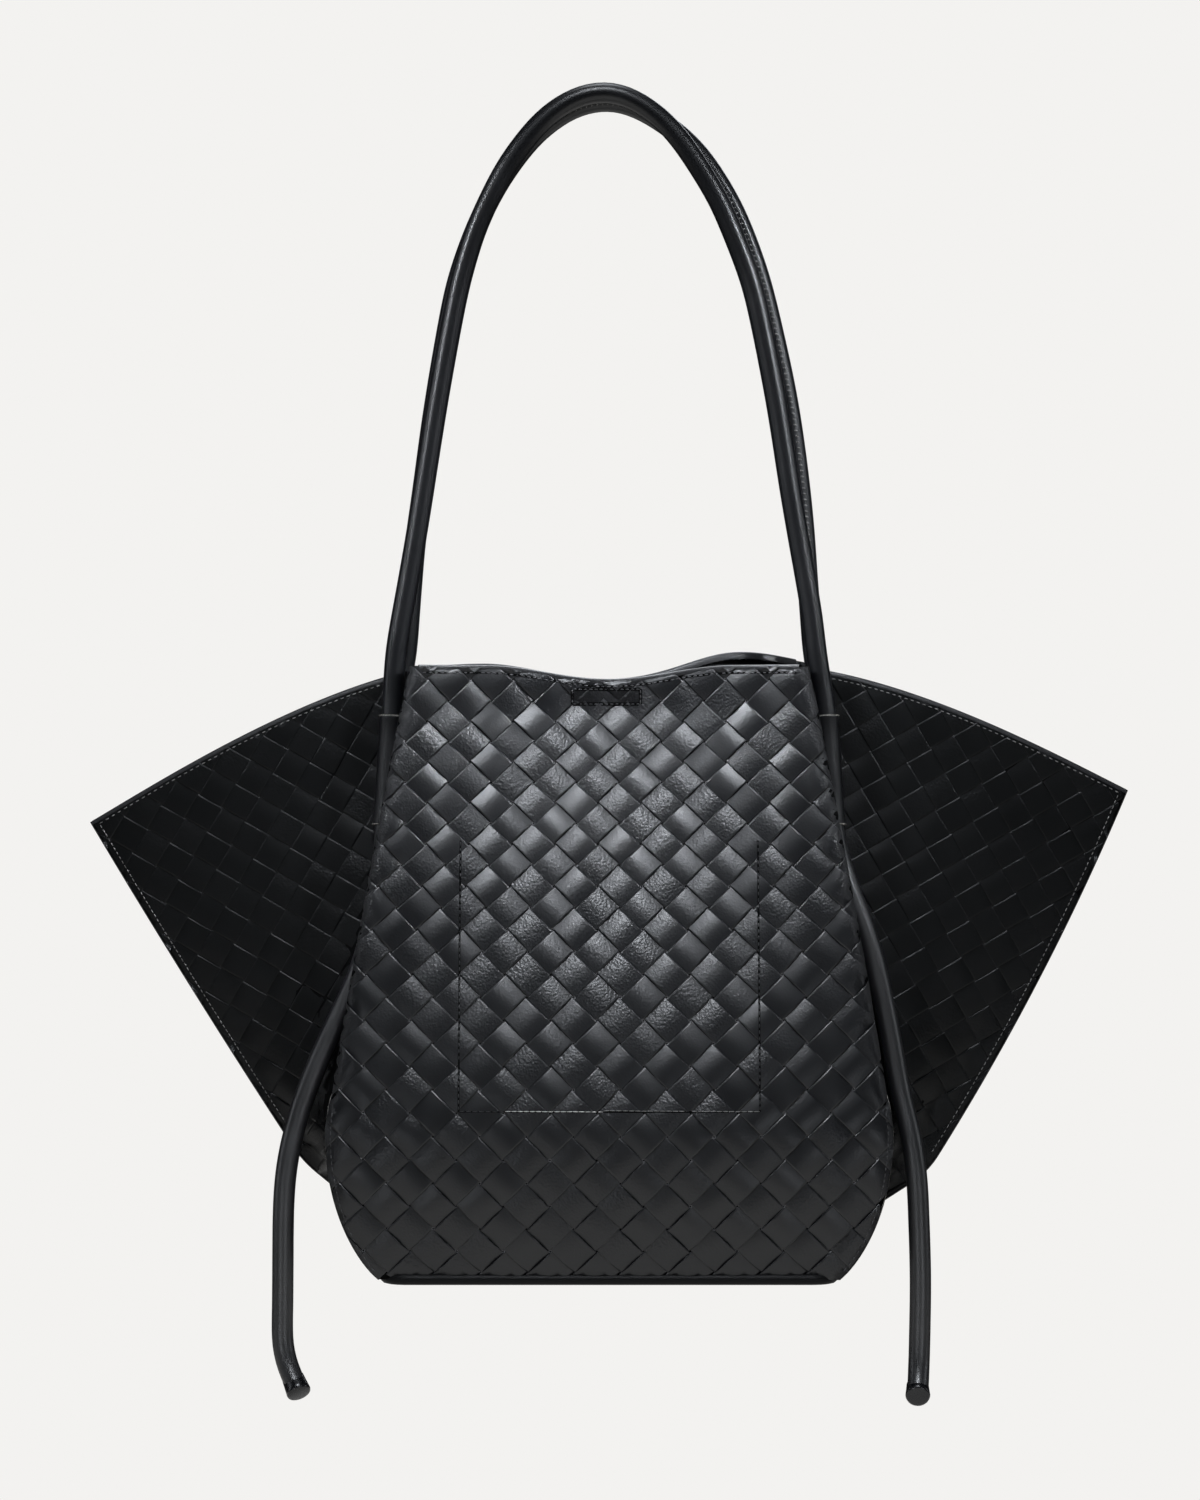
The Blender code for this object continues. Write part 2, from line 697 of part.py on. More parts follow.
def tail_bend(side):
    """Where a tail bends just below its sleeve."""
    return sleeve_place(side, True, SLEEVE_BOTTOM_HEIGHT - BEND_GAP)


def tail_route(side):
    table = RIGHT_TAIL_ROUTE if side > 0 else LEFT_TAIL_ROUTE
    bend = tail_bend(side)
    return [bend + Vector((side * outwards, -forwards, -down)) for outwards, forwards, down in table]


def tail(name, side):
    return cord(name, tail_route(side), TAIL_POINT_SPACING, True, False)


def tail_cap(name, side):
    """The small leather cap on a tail's end."""
    route = even_points(tail_route(side), TAIL_POINT_SPACING)
    along = (route[-1] - route[-2]).normalized()
    start = route[-1] + along * CLEARANCE
    return rod(name, CAP_DIAMETER, start, start + along * CAP_LENGTH, leather(name), CAP_BEVEL)


def cord_core(name, side, front):
    """The stretch of cord that the sleeve holds, and on from its mouth to the strap's bend."""
    low = sleeve_place(side, front, SLEEVE_BOTTOM_HEIGHT)
    mouth = sleeve_place(side, front, SLEEVE_TOP_HEIGHT + CLEARANCE)
    bend = strap_bend(side, front)
    top = bend + (mouth - bend).normalized() * BEND_GAP
    return tube(name, [(place, 1) for place in (low, mouth, top)], low)


def fold_line(name, front):
    """An empty on the line along which a panel bends where it meets the base."""
    depth = (BASE_DEPTH - PANEL_THICKNESS) / 2
    made = bpy.data.objects.new(name, None)
    made.location = (0, -depth if front else depth, level(PANEL_BOTTOM))
    parts_collection().objects.link(made)
    return made


def attach(parent, children):
    """Parents objects to one that isn't turned, without moving them."""
    for child in children:
        child.parent = parent
        child.location -= parent.location


def build_base():
    leather_base = leather("base_panel")
    plate("base_panel", BASE_LENGTH, BASE_DEPTH, BASE_CORNER_RADIUS, BASE_THICKNESS, 0, leather_base)
    plate(
        "base_board", BASE_LENGTH - 2 * BOARD_INSET, BASE_DEPTH - 2 * BOARD_INSET, BASE_CORNER_RADIUS,
        BOARD_THICKNESS, PANEL_BOTTOM, principled("base_board", BOARD_COLOUR, BOARD_ROUGHNESS),
    )


def build_side(place, front):
    """A panel with all that moves with it."""
    carried = [
        panel(f"{place}_panel", front),
        facing(f"{place}_facing", front),
        magnet(f"{place}_magnet", front),
        strap(f"{place}_strap", front),
    ]
    for hand, side in (("left", -1), ("right", 1)):
        wing(f"{hand}_wing_{place}", side, front)
        carried.append(sleeve(f"{place}_{hand}_sleeve", side, front))
        carried.append(cord_core(f"{place}_{hand}_cord_core", side, front))
        if front:
            hanging = tail(f"{hand}_tail", side)
            attach(hanging, [tail_cap(f"{hand}_tail_cap", side)])
            carried.append(hanging)
    if front:
        carried.append(pocket("inner_pocket"))
    attach(fold_line(f"{place}_fold_line", front), carried)


def build():
    for left_over in list(bpy.data.objects):
        bpy.data.objects.remove(left_over)
    build_base()
    build_side("front", True)
    build_side("back", False)


build()
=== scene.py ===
"""The looks of a woven leather tote bag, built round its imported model.

Metres, +Z up, front towards -Y. The origin is the point under the straps' arches. Heights in the
shape formulas are measured up from the base's underside, and BagShape.level turns them into Z.
"""

import logging
import math
from collections.abc import Callable, Iterable, Sequence
from dataclasses import dataclass, field, replace
from enum import Enum
from functools import cache, partial

import bmesh
import bpy
from mathutils import Matrix, Vector, noise
from mathutils.bvhtree import BVHTree
from mathutils.geometry import intersect_point_line
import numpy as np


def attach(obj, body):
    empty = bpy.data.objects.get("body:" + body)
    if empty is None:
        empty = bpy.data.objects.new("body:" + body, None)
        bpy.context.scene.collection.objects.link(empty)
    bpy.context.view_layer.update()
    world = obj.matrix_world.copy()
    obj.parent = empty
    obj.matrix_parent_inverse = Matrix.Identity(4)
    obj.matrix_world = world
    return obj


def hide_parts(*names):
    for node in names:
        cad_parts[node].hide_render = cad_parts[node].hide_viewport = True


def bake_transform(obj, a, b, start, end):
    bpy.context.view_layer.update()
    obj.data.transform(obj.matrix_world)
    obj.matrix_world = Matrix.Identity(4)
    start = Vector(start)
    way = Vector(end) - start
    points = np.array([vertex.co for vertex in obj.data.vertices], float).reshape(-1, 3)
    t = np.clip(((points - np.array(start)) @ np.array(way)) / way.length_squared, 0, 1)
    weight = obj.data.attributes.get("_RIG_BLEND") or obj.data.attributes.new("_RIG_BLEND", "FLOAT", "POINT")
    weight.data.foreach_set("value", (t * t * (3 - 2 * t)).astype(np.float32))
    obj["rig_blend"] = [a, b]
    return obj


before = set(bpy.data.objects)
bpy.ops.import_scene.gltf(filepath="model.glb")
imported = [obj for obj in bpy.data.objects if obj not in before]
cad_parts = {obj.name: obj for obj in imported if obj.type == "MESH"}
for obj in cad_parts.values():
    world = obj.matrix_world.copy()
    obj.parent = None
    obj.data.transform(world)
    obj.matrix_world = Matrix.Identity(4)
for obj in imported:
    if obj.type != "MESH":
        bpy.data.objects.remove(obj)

LOG = logging.getLogger("tote")
Colour = tuple[float, float, float]
Point = tuple[float, float, float]
Pair = tuple[float, float]
Ray = tuple[Vector, Vector]  # a place and its outward direction
BATCH = 1200  # a piece's newest shapes are joined to the rest past this many points
MERGE = 0.000002  # points nearer than this are one
SLIVER = 0.00001  # edges shorter than this carry no shape
SHARP = math.radians(50)  # edges that turn further stay sharp
ROLLED_TONE = 0.1  # the grain's strength on leather rolled round something
NOISE_STRIDE = 7.31  # sets neighbouring crossings apart in the noise
WAVE_PERIOD = 0.314  # of the wave texture at scale 1
ROUTE_STEPS = 24  # points from place to place along a route, before it is spaced
ROUTE_ROUNDS = 6  # how often a spaced route is smoothed


class Side(Enum):
    """The two faces of the bag, with the sign of their Y."""

    FRONT = -1
    BACK = 1

    @property
    def word(self) -> str:
        """The word that this side has in node and body names."""
        return self.name.lower()


class Hand(Enum):
    """Left and right as someone facing the front sees them, with the sign of their X."""

    LEFT = -1
    RIGHT = 1

    @property
    def word(self) -> str:
        """The word that this hand has in node and body names."""
        return self.name.lower()


def smoothstep(value: float) -> float:
    """The smooth rise from 0 to 1."""
    value = min(max(value, 0.0), 1.0)
    return value * value * (3 - 2 * value)


def mix(start: float, end: float, share: float) -> float:
    """The value at a share of the way from start to end."""
    return start + (end - start) * share


def spaced(start: float, end: float, steps: int) -> list[float]:
    """Evenly spaced numbers, with both ends."""
    return [mix(start, end, order / steps) for order in range(steps + 1)]


def read_table(table: Sequence[Pair], position: float) -> float:
    """Reads a table of (position, value) pairs with straight lines between them.

    Args:
        table: The pairs, in rising order.
        position: Where to read.

    Returns:
        The value there, or the nearest end's value outside the table.
    """
    if position <= table[0][0]:
        return table[0][1]
    for (low, first), (high, second) in zip(table, table[1:]):
        if position <= high:
            return mix(first, second, (position - low) / (high - low))
    return table[-1][1]


def chance(column: int, row: int, seed: float) -> float:
    """A repeatable number from 0 to 1 for a crossing of the weave."""
    return noise.noise(Vector((column, row, seed)) * NOISE_STRIDE) * 0.5 + 0.5


class Link:
    """A node's socket, used in Python expressions."""

    def __init__(self, graph: "Graph", socket: bpy.types.NodeSocket) -> None:
        """Keeps the socket and the graph that new nodes go into."""
        self.graph = graph
        self.socket = socket

    def _math(self, operation: str, first: "Link | float", second: "Link | float" = 0.0) -> "Link":
        """Adds a Math node."""
        return self.graph.node("ShaderNodeMath", {"operation": operation}, {0: first, 1: second})

    def __add__(self, other: "Link | float") -> "Link":
        """The sum."""
        return self._math("ADD", self, other)

    __radd__ = __add__

    def __mul__(self, other: "Link | float") -> "Link":
        """The product."""
        return self._math("MULTIPLY", self, other)

    __rmul__ = __mul__

    def __sub__(self, other: "Link | float") -> "Link":
        """The difference."""
        return self._math("SUBTRACT", self, other)

    def __rsub__(self, other: float) -> "Link":
        """A number less this."""
        return self._math("SUBTRACT", other, self)

    def __abs__(self) -> "Link":
        """The size without its sign."""
        return self._math("ABSOLUTE", self)

    def between(self, low: float, high: float) -> "Link":
        """A smooth rise from 0 at low to 1 at high.

        Args:
            low: Where it is 0.
            high: Where it is 1.

        Returns:
            The share.
        """
        return self.graph.node(
            "ShaderNodeMapRange",
            {"interpolation_type": "SMOOTHSTEP"},
            {"Value": self, "From Min": low, "From Max": high},
        )


class Graph:
    """The nodes of a material or of the world."""

    def __init__(self, owner: bpy.types.Material | bpy.types.World, shader: str, end: str) -> None:
        """Opens the nodes.

        Args:
            owner: The material or world.
            shader: The shader that it starts with.
            end: Its last node.
        """
        owner.use_nodes = True
        self.tree = owner.node_tree
        self.shader = self.tree.nodes[shader]
        self.end = self.tree.nodes[end]

    def node(
        self,
        kind: str,
        settings: dict[str, object] | None = None,
        inputs: dict[int | str, object] | None = None,
        output: int | str = 0,
    ) -> Link:
        """Adds any node.

        Args:
            kind: The node's type.
            settings: Its own settings, which are set first.
            inputs: Values or links for its sockets, by name or number.
            output: Which of its outputs to use.

        Returns:
            The output, for further expressions.
        """
        made = self.tree.nodes.new(kind)
        for name, value in (settings or {}).items():
            setattr(made, name, value)
        for name, value in (inputs or {}).items():
            if isinstance(value, Link):
                self.tree.links.new(value.socket, made.inputs[name])
            else:
                made.inputs[name].default_value = value
        return Link(self, made.outputs[output])

    def place(self) -> Link:
        """Object coordinates."""
        return self.node("ShaderNodeTexCoord", output="Object")

    def from_middle(self, axis: str) -> Link:
        """How far a point is from its strip's middle, up to 1, along it (X) or across it (Y)."""
        layout = self.node("ShaderNodeTexCoord", output="UV")
        return abs(self.node("ShaderNodeSeparateXYZ", inputs={0: layout}, output=axis) - 0.5) * 2

    def cloud(self, size: float, detail: float = 2.0, roughness: float = 0.5) -> Link:
        """Soft noise.

        Args:
            size: About how wide its patches are.
            detail: How many finer layers it has.
            roughness: How strong they are.

        Returns:
            The noise, from 0 to 1.
        """
        sockets = {"Vector": self.place(), "Scale": 1 / size}
        sockets |= {"Detail": detail, "Roughness": roughness}
        return self.node("ShaderNodeTexNoise", inputs=sockets)

    def bands(self, direction: str, scale: float, distortion: float, detail: float = 2.0) -> Link:
        """Wavy bands.

        Args:
            direction: The axis that they run across, or DIAGONAL.
            scale: How close they are.
            distortion: How wavy they are.
            detail: How many finer layers the waves have.

        Returns:
            The bands, from 0 to 1.
        """
        settings = {"wave_type": "BANDS", "bands_direction": direction}
        sockets = {"Vector": self.place(), "Scale": scale}
        sockets |= {"Distortion": distortion, "Detail": detail}
        return self.node("ShaderNodeTexWave", settings, sockets, output="Fac")

    def paint(self, share: Link, first: Colour, second: Colour) -> None:
        """Feeds the Base Color with a blend of two colours.

        Args:
            share: The second colour's share.
            first: The first colour.
            second: The second colour.
        """
        sockets = {0: share, 6: (*first, 1), 7: (*second, 1)}
        colour = self.node("ShaderNodeMix", {"data_type": "RGBA"}, sockets, output=2)
        self.feed("Base Color", colour)

    def starting_shader(self) -> Link:
        """The output of the shader that the owner starts with."""
        return Link(self, self.shader.outputs[0])

    def blend_shaders(self, share: Link, first: Link, second: Link) -> None:
        """Shows a blend of two shaders."""
        blended = self.node("ShaderNodeMixShader", inputs={0: share, 1: first, 2: second})
        self.tree.links.new(blended.socket, self.end.inputs["Surface"])

    def feed(self, socket: str, value: object) -> None:
        """Sets or links a socket of the shader that the owner starts with.

        Args:
            socket: The socket's name.
            value: A value or a link.
        """
        if isinstance(value, Link):
            self.tree.links.new(value.socket, self.shader.inputs[socket])
        else:
            self.shader.inputs[socket].default_value = value

    def relief(self, height: Link) -> None:
        """Bumps the surface by a height in metres."""
        sockets = {"Strength": 1.0, "Distance": 1.0, "Height": height}
        self.feed("Normal", self.node("ShaderNodeBump", inputs=sockets))


@dataclass(frozen=True)
class Finish:
    """What a surface is made of. Each kind dresses its material in its own way."""

    name: str

    def dress(self, graph: Graph) -> None:
        """Sets the material's nodes."""
        raise NotImplementedError

    @cache
    def material(self) -> bpy.types.Material:
        """The finish's material, which is made once.

        Returns:
            The material.
        """
        made = bpy.data.materials.new(self.name)
        self.dress(Graph(made, "Principled BSDF", "Material Output"))
        return made


@dataclass(frozen=True)
class Leather(Finish):
    """Black nappa: a fine pebbled grain, soft creases, edges worn a little paler, and painted glints along
    the strips' edges that stand in for highlights.
    """

    colour: Colour = (0.0030, 0.0033, 0.0042)
    # The colour of worn edges and corners, and of the painted glints.
    worn_and_glint_colour: Colour = (0.10, 0.10, 0.105)
    roughness: float = 0.305
    grain: float = 0.0012
    grain_depth: float = 0.00012
    crease: float = 0.0024
    crease_depth: float = 0.00013
    patch_size: float = 0.045
    speck_size: float = 0.0016
    edge_wear: float = 0.025
    fold_dullness: float = 0.30
    # Strength of the worn edges and the painted glints together.
    wear_and_glint_share: float = 1.0
    shine: float = 0.5

    def dress(self, graph: Graph) -> None:
        """Sets the material's nodes.

        Args:
            graph: The material's nodes.
        """
        pebbles = graph.node(
            "ShaderNodeTexVoronoi", {"feature": "SMOOTH_F1"},
            {"Vector": graph.place(), "Scale": 1 / self.grain, "Smoothness": 0.6},
        )
        tone = graph.node("ShaderNodeAttribute", {"attribute_name": "tone"}, output="Fac")
        creases = graph.cloud(self.crease, 3.0, 0.55)
        patches = graph.cloud(self.patch_size)
        specks = graph.cloud(self.speck_size, 1.0)
        across = graph.from_middle("Y")
        folded = tone.between(1.2, 2.0)
        gap = across.between(0.955, 0.985)
        # Painted glints: sparse pale marks in each strip's edge gap, colour standing in for highlights.
        painted_glints = gap * graph.cloud(0.006).between(0.56, 0.66)
        edges = across.between(0.92, 1.0) * specks.between(0.45, 0.75) * self.edge_wear
        ends = graph.from_middle("X").between(0.80, 0.90)
        corners = across.between(0.90, 0.97) * ends
        # Worn edges and corners, plus the painted glints, in one mask.
        wear_and_glints = (edges + corners * graph.cloud(0.02).between(0.42, 0.66) + painted_glints * 0.5) * self.wear_and_glint_share
        graph.feed("Specular IOR Level", self.shine)
        graph.paint(wear_and_glints, self.colour, self.worn_and_glint_colour)
        smooth = self.roughness + patches * 0.10 - 0.05 + pebbles * 0.05 + tone * 0.07
        graph.feed("Roughness", smooth + folded * self.fold_dullness - gap * 0.06)
        coarse = tone.between(0.36, 0.72)
        grain = pebbles * (-self.grain_depth) * (0.30 + coarse)
        graph.relief(grain + creases * (0.4 + coarse) * self.crease_depth)


@dataclass(frozen=True)
class RolledLeather(Finish):
    """Leather stretched round a cord: a smoother face with faint creases and worn patches."""

    colour: Colour = (0.0030, 0.0033, 0.0042)
    worn_colour: Colour = (0.014, 0.014, 0.016)
    roughness: float = 0.30
    shine: float = 0.7
    patch_size: float = 0.03
    crease: float = 0.0035
    crease_depth: float = 0.00002

    def dress(self, graph: Graph) -> None:
        """Sets the material's nodes.

        Args:
            graph: The material's nodes.
        """
        patches = graph.cloud(self.patch_size)
        worn = patches.between(0.55, 0.85) * 0.6
        graph.paint(worn, self.colour, self.worn_colour)
        graph.feed("Roughness", self.roughness + patches * 0.10)
        graph.feed("Specular IOR Level", self.shine)
        graph.relief(graph.cloud(self.crease) * self.crease_depth)


@dataclass(frozen=True)
class Thread(Finish):
    """Waxed sewing thread, with the twist of its plies, their ridges painted paler as a highlight."""

    colour: Colour
    roughness: float = 0.55
    ply_scale: float = 900.0
    ply_depth: float = 0.00005
    ply_highlight: float = 1.7

    def dress(self, graph: Graph) -> None:
        """Sets the material's nodes.

        Args:
            graph: The material's nodes.
        """
        twist = graph.bands("DIAGONAL", self.ply_scale, 1.0)
        # The twist's bands are painted paler: a highlight on each ply's ridge.
        lighter = tuple(channel * self.ply_highlight for channel in self.colour)
        graph.paint(twist, self.colour, lighter)
        graph.feed("Roughness", self.roughness + twist * 0.1)
        graph.relief(twist * self.ply_depth)


@dataclass(frozen=True)
class CutEdge(Finish):
    """A leather edge: painted and burnished, or left raw with its fibres showing."""

    colour: Colour
    fibre: Colour
    roughness: float
    shine: float = 0.5
    fibre_size: float = 0.0012
    fibre_depth: float = 0.00008

    def dress(self, graph: Graph) -> None:
        """Sets the material's nodes.

        Args:
            graph: The material's nodes.
        """
        graph.feed("Specular IOR Level", self.shine)
        fibres = graph.cloud(self.fibre_size, 4.0, 0.7)
        pale = fibres.between(0.35, 0.75)
        graph.paint(pale, self.colour, self.fibre)
        graph.feed("Roughness", self.roughness + fibres * 0.12)
        graph.relief(fibres * self.fibre_depth)


@dataclass(frozen=True)
class Lining(Finish):
    """Brushed cotton, woven one over one."""

    colour: Colour = (0.030, 0.028, 0.027)
    light: Colour = (0.060, 0.056, 0.052)
    thread: float = 0.0006
    thread_depth: float = 0.00012
    nap_size: float = 0.004
    nap_depth: float = 0.0001
    roughness: float = 0.82
    sheen: float = 0.25

    def dress(self, graph: Graph) -> None:
        """Sets the material's nodes.

        Args:
            graph: The material's nodes.
        """
        scale = WAVE_PERIOD / self.thread
        weave = graph.bands("X", scale, 0.6) * graph.bands("Z", scale, 0.6)
        nap = graph.cloud(self.nap_size, 4.0)
        pale = weave * 0.7 + nap * 0.3
        graph.paint(pale, self.colour, self.light)
        graph.feed("Roughness", self.roughness + nap * 0.12)
        graph.feed("Sheen Weight", self.sheen)
        graph.relief(weave * self.thread_depth + nap * self.nap_depth)


@dataclass(frozen=True)
class Steel(Finish):
    """Nickel-plated steel with fine grinding marks."""

    colour: Colour = (0.55, 0.55, 0.56)
    mark_colour: Colour = (0.48, 0.48, 0.49)
    mark_scale: float = 700.0
    mark_depth: float = 0.00001
    roughness: float = 0.28

    def dress(self, graph: Graph) -> None:
        """Sets the material's nodes.

        Args:
            graph: The material's nodes.
        """
        marks = graph.bands("Z", self.mark_scale, 6.0, 3.0)
        graph.feed("Metallic", 1.0)
        graph.paint(marks, self.colour, self.mark_colour)
        graph.feed("Roughness", self.roughness + marks * 0.15)
        graph.relief(marks * self.mark_depth)


@dataclass(frozen=True)
class FibreBoard(Finish):
    """Pressed fibre, with flecks."""

    colour: Colour = (0.050, 0.046, 0.042)
    fleck: Colour = (0.105, 0.098, 0.088)
    fleck_size: float = 0.0022
    fleck_depth: float = 0.00012
    roughness: float = 0.86

    def dress(self, graph: Graph) -> None:
        """Sets the material's nodes.

        Args:
            graph: The material's nodes.
        """
        flecks = graph.cloud(self.fleck_size, 5.0, 0.75)
        pale = flecks.between(0.45, 0.7)
        graph.paint(pale, self.colour, self.fleck)
        graph.feed("Roughness", self.roughness + flecks * 0.1)
        graph.relief(flecks * self.fleck_depth)


@dataclass(frozen=True)
class WingOutline:
    """A wing's tip height, and its soft edge's join, low corner and bow, as reach and height."""

    tip_height: float
    join: Pair
    corner: Pair
    bow: float


@dataclass
class BagShape:
    """The bag's surfaces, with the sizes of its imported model."""

    hang_height: float = 0.6074
    body_height: float = 0.316
    rim_dip: float = 0.007
    rim_dip_half_width: float = 0.065
    back_rim_bumps: tuple[Point, ...] = ((0.0012, -0.066, 0.024), (0.0073, 0.070, 0.034))
    base_length: float = 0.2272
    base_depth: float = 0.090
    belly_width: float = 0.2896
    belly_height: float = 0.078
    belly_centre_depth: float = 0.060
    belly_edge_depth: float = 0.050
    mouth_width: float = 0.2016
    mouth_edge_depth: float = 0.026
    closure_depth: float = 0.00485
    closure_height: float = 0.2948
    panel_bottom: float = 0.0023
    panel_thickness: float = 0.0018
    fold_radius: float = 0.004
    margin: float = 0.026
    raw_margin: float = 0.002
    hidden_margin: float = 0.0082
    margin_heights: Pair = (0.085, 0.125)
    flat_half_width: float = 0.0162
    bulge: float = 2.2
    tip_span: float = 0.5388
    left_wing: WingOutline = WingOutline(0.2353, (0.1405, 0.0440), (0.1592, 0.0592), 0.0012)
    right_wing: WingOutline = WingOutline(0.2519, (0.1405, 0.0372), (0.1652, 0.0530), 0.0048)
    join_height: float = 0.045
    gusset_inset: float = 0.003
    edge_bulge: float = 0.004
    top_arch: float = 0.0062
    wall: float = 0.0868
    crown: float = 0.0050
    crown_shape: Point = (3.98, 0.7, 1.5)
    floor_table: tuple[Pair, ...] = (
        (0.045, -0.002), (0.105, 0.002), (0.180, -0.002), (0.2343, -0.0022), (0.2897, 0.006),
    )
    corner_share: float = 0.10
    corner_round: float = 0.04

    def wing(self, hand: Hand) -> WingOutline:
        """A wing's own sizes."""
        return self.left_wing if hand is Hand.LEFT else self.right_wing

    def level(self, height: float) -> float:
        """The Z of a height above the base's underside."""
        return height - self.hang_height

    def _swell(
        self, height: float, sizes: tuple[float, float, float], top_height: float,
        powers: Pair,
    ) -> float:
        """A size that swells from the base to the belly and tapers to the top.

        Args:
            height: Height above the base's underside.
            sizes: The sizes at the base, the belly and the top.
            top_height: Height of the top.
            powers: How the curve bends below and above the belly.

        Returns:
            The size there.
        """
        base, belly, top = sizes
        if height < self.belly_height:
            share = (max(height, 0.0) / self.belly_height) ** powers[0]
            return mix(base, belly, math.sin(math.pi / 2 * share))
        share = min((height - self.belly_height) / (top_height - self.belly_height), 1.0)
        return mix(belly, top, share ** powers[1])

    def half_width(self, height: float) -> float:
        """Half the panel's visible width."""
        sizes = (self.base_length / 2, self.belly_width / 2, self.mouth_width / 2)
        return self._swell(height, sizes, self.body_height, (0.7, 1.15))

    def centre_depth(self, height: float) -> float:
        """How far the panel's middle stands from the bag's middle plane."""
        sizes = (self.base_depth / 2, self.belly_centre_depth, self.closure_depth)
        return self._swell(height, sizes, self.closure_height, (0.8, 1.25))

    def edge_depth(self, height: float) -> float:
        """The same at the panel's sides."""
        sizes = (self.base_depth / 2, self.belly_edge_depth, self.mouth_edge_depth)
        return self._swell(height, sizes, self.body_height, (0.8, 1.0))

    def margin_length(self, height: float) -> float:
        """Length of the turned-in margin, which runs out to a raw edge low down."""
        low, high = self.margin_heights
        return mix(self.raw_margin, self.margin, smoothstep((height - low) / (high - low)))

    def _turned(self, length: float) -> float:
        """How far the fold has turned at a length past the face's side."""
        return min(length / self.fold_radius, math.pi)

    def face_half_width(self, height: float) -> float:
        """Half the width of the flat face, inside the fold."""
        turned = min(self._turned(self.margin_length(height)), math.pi / 2)
        return self.half_width(height) - self.fold_radius * math.sin(turned)

    def face_depth(self, height: float, across: float) -> float:
        """Depth of the panel's outer face at a distance from its middle.

        Args:
            height: Height above the base's underside.
            across: Distance from the panel's middle.

        Returns:
            The depth from the bag's middle plane.
        """
        edge = self.edge_depth(height)
        reach = self.face_half_width(height) - self.flat_half_width
        share = max(abs(across) - self.flat_half_width, 0.0) / reach
        middle = self.centre_depth(height) - edge
        if share > 1:
            return edge - middle * self.bulge * (share - 1)
        return edge + middle * (1 - share**self.bulge)

    def edge_slope(self, height: float) -> float:
        """Angle by which the face runs back at its side.

        Args:
            height: Height above the base's underside.

        Returns:
            The angle in radians.
        """
        middle = self.centre_depth(height) - self.edge_depth(height)
        reach = self.face_half_width(height) - self.flat_half_width
        return math.atan(middle * self.bulge / reach)

    def rim_height(self, side: Side, across: float) -> float:
        """The mouth's rim, which dips in the middle. The back one stands higher in places.

        Args:
            side: Which panel.
            across: Distance from its middle.

        Returns:
            The height above the base's underside.
        """
        share = min(abs(across) / self.rim_dip_half_width, 1.0)
        rim = self.body_height - self.rim_dip * (1 + math.cos(math.pi * share)) / 2
        if side is Side.BACK:
            for high, centre, width in self.back_rim_bumps:
                rim += high * math.exp(-(((across - centre) / width) ** 2))
        return rim

    def cloth_limit(self, height: float) -> float:
        """Distance along the cloth from the middle to its side, or to where the fold hides it."""
        return self.face_half_width(height) + min(self.margin_length(height), self.hidden_margin)

    def cloth_point(self, side: Side, across: float, height: float) -> Vector:
        """A point of the panel's outer surface, at a distance along the cloth from its middle.

        Args:
            side: Which panel.
            across: Distance along the cloth from its middle.
            height: Height above the base's underside.

        Returns:
            The point.
        """
        flat = self.face_half_width(height)
        if abs(across) <= flat:
            place = Vector((across, -self.face_depth(height, across), self.level(height)))
        else:
            length = abs(across) - flat
            turned = self._turned(length)
            rest = length - turned * self.fold_radius
            out = self.fold_radius * math.sin(turned) + rest * math.cos(turned)
            back = self.fold_radius * (1 - math.cos(turned)) + rest * math.sin(turned)
            slope = self.edge_slope(height)
            x = flat + out * math.cos(slope) - back * math.sin(slope)
            depth = self.edge_depth(height) - out * math.sin(slope) - back * math.cos(slope)
            place = Vector((math.copysign(x, across), -depth, self.level(height)))
        if side is Side.BACK:
            place.y = -place.y
        return place

    def cloth_normal(self, side: Side, across: float, height: float) -> Vector:
        """The outward normal of the panel's surface.

        Args:
            side: Which panel.
            across: Distance along the cloth from its middle.
            height: Height above the base's underside.

        Returns:
            The direction.
        """
        step = 0.0012
        ahead, behind = (self.cloth_point(side, across + shift, height) for shift in (step, -step))
        above, below = (self.cloth_point(side, across, height + shift) for shift in (step, -step))
        return ((ahead - behind).cross(above - below) * -side.value).normalized()

    def packed_edge(self, hand: Hand, share: float) -> Vector:
        """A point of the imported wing's outer edge.

        Args:
            hand: Which wing.
            share: How far up the edge, 0 at the join and 1 at the tip.

        Returns:
            The distance from the bag's middle and the height.
        """
        start = Vector((self.half_width(self.join_height) - self.gusset_inset, self.join_height))
        tip = Vector((self.tip_span / 2, self.wing(hand).tip_height))
        return self._bowed(start, tip, self.edge_bulge, share)

    def _bowed(self, start: Vector, end: Vector, bulge: float, share: float) -> Vector:
        """A point of a line that bows outwards.

        Args:
            start: The line's first end.
            end: Its last end.
            bulge: How far its middle bows.
            share: How far along, from 0 to 1.

        Returns:
            The point.
        """
        run = end - start
        outwards = Vector((run.y, -run.x)).normalized()
        return start + run * share + outwards * bulge * 4 * share * (1 - share)

    def wing_edge(self, hand: Hand, share: float) -> Vector:
        """A point of the soft wing's outer edge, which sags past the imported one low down.

        Args:
            hand: Which wing.
            share: How far along, 0 at the panel's side and 1 at the tip.

        Returns:
            The distance from the bag's middle and the height.
        """
        join, corner = Vector(self.wing(hand).join), Vector(self.wing(hand).corner)
        tip = Vector((self.tip_span / 2, self.wing(hand).tip_height))
        turn, reach = self.corner_share, self.corner_round

